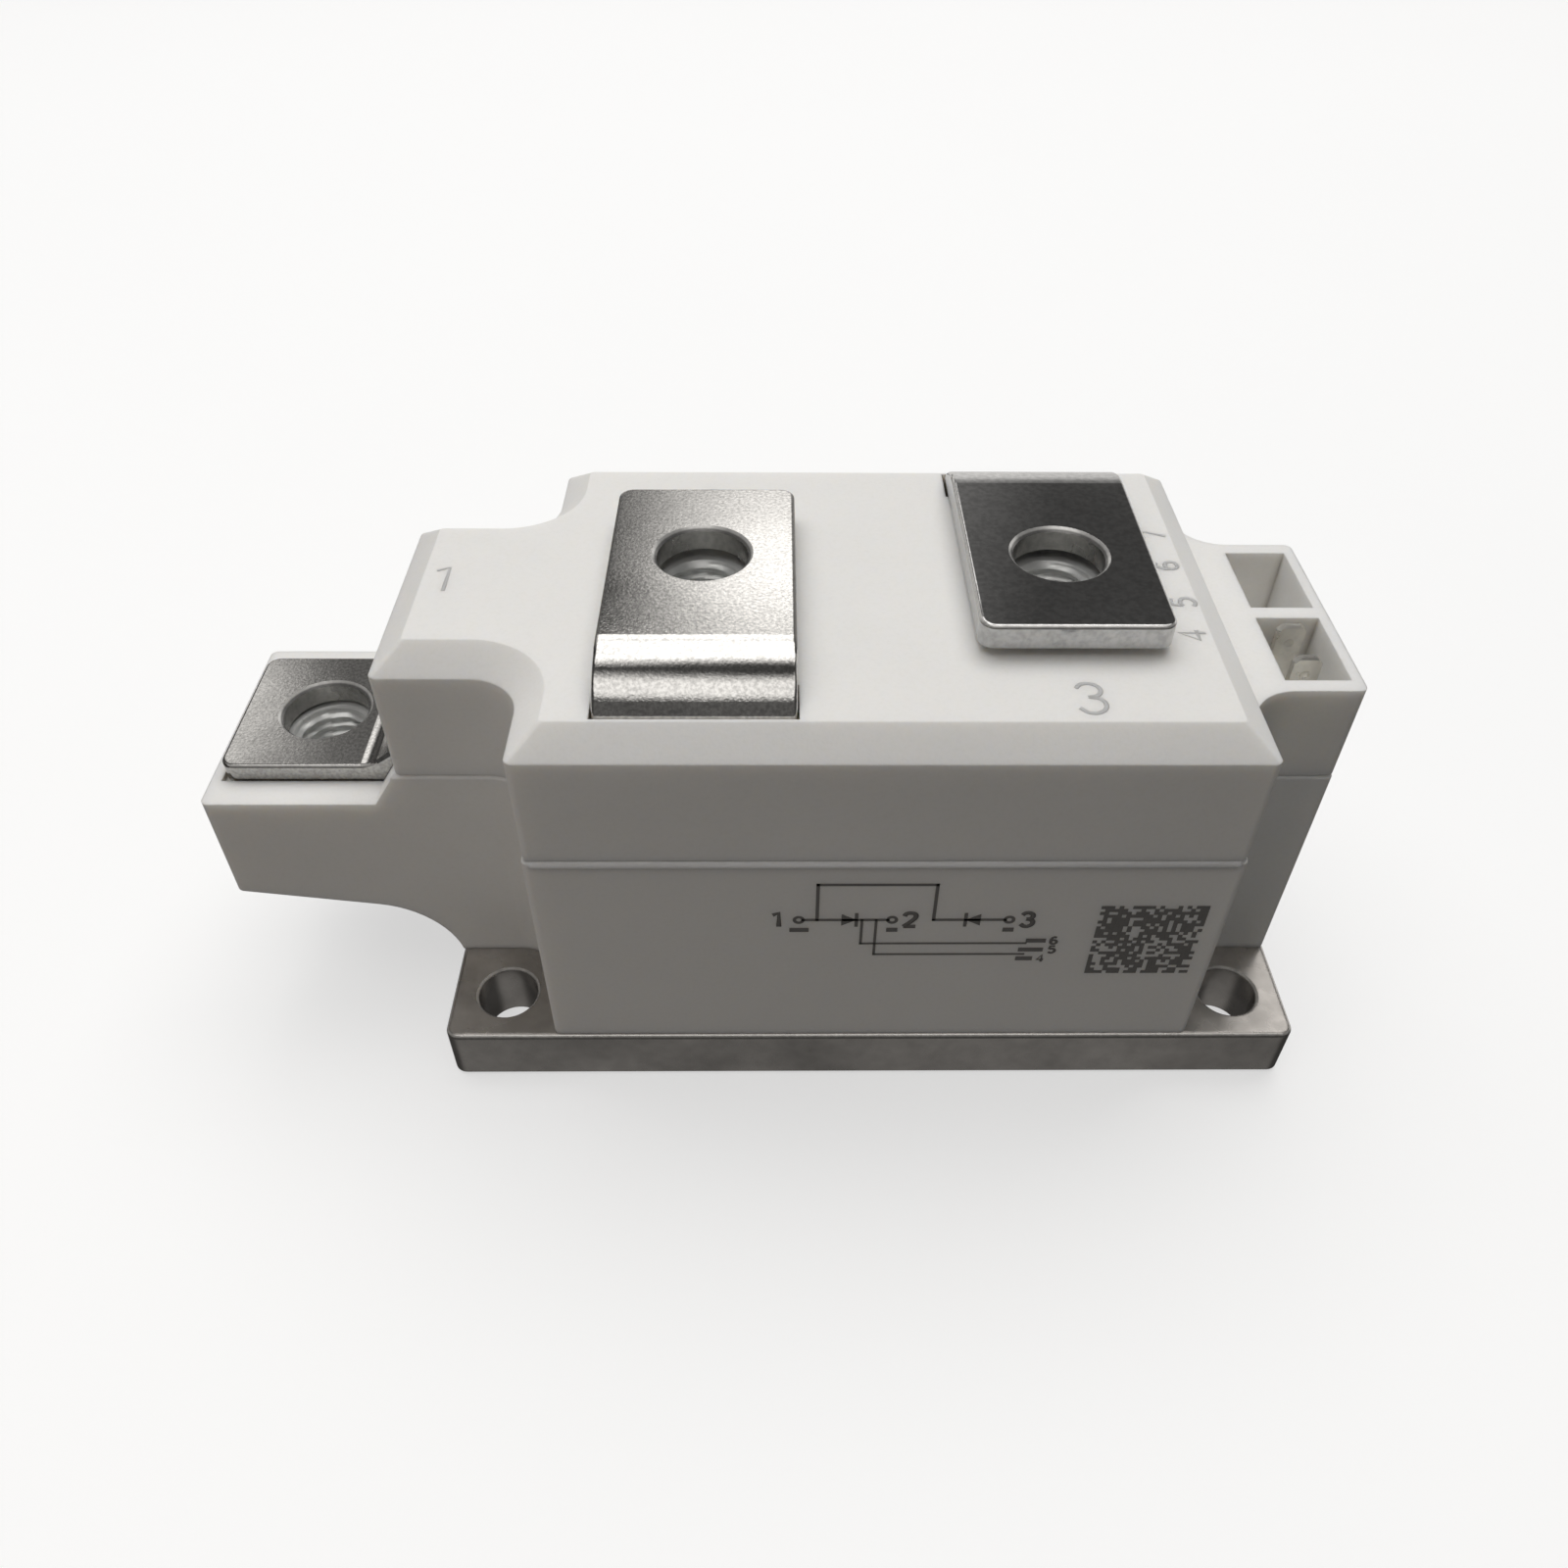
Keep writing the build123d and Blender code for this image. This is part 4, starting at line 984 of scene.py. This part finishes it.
def make_camera():
    """The photograph's camera."""
    yaw, pitch, roll = CAMERA_YAW, CAMERA_PITCH, CAMERA_ROLL
    forward = Vector((math.sin(yaw) * math.cos(pitch), math.cos(yaw) * math.cos(pitch), -math.sin(pitch)))
    level = Vector((math.cos(yaw), -math.sin(yaw), 0))
    down = forward.cross(level)
    right = level * math.cos(roll) + down * math.sin(roll)
    up = level * math.sin(roll) - down * math.cos(roll)
    data = bpy.data.cameras.new("camera")
    data.lens = CAMERA_LENS
    data.sensor_width = CAMERA_SENSOR
    data.shift_x, data.shift_y = CAMERA_SHIFT
    data.clip_start, data.clip_end = CAMERA_CLIP
    camera = bpy.data.objects.new("camera", data)
    bpy.context.scene.collection.objects.link(camera)
    turned = Matrix((right, up, -forward)).transposed().to_4x4()
    camera.matrix_world = Matrix.Translation(CAMERA_PLACE) @ turned
    bpy.context.scene.camera = camera


with open("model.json") as file:
    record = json.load(file)
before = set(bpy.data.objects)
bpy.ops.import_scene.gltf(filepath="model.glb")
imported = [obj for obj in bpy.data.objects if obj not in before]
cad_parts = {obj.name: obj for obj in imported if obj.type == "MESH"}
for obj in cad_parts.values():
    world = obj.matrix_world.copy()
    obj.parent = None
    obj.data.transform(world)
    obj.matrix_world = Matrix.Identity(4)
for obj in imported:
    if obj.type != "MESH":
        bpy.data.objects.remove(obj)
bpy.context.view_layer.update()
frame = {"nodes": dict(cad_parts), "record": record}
bpy.context.scene.view_settings.view_transform = "Standard"
materials = make_materials()
finish_nodes(frame, materials)
# Painted highlights and dark reflections on edges, and painted shade on the bores
paint_edge_and_bore_shading(frame["nodes"], materials["bore"])
for nut_node in ("terminal_1_nut", "terminal_2_nut", "terminal_3_nut"):
    make_nut(nut_node, materials["nut"])
roof_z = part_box("housing_cover")[1].z
front_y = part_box("housing_frame")[0].y
make_roof_numerals(materials["numeral"], roof_z)
make_seam_lips(frame, materials["lip"])
make_schematic(materials["ink"], front_y)
make_print_digits(PRINT_DIGITS, PRINT_DIGIT_SIZE, materials["ink"], front_y)
make_print_digits(GATE_DIGITS, GATE_DIGIT_SIZE, materials["ink"], front_y)
make_pattern(materials["ink"], front_y)
make_floor()
add_panel_light("overhead_panel", KEY_PLACE, KEY_SIZE, KEY_POWER, KEY_COLOUR)
add_panel_light("side_fill", FILL_PLACE, FILL_SIZE, FILL_POWER, FILL_COLOUR)
make_room()
make_camera()
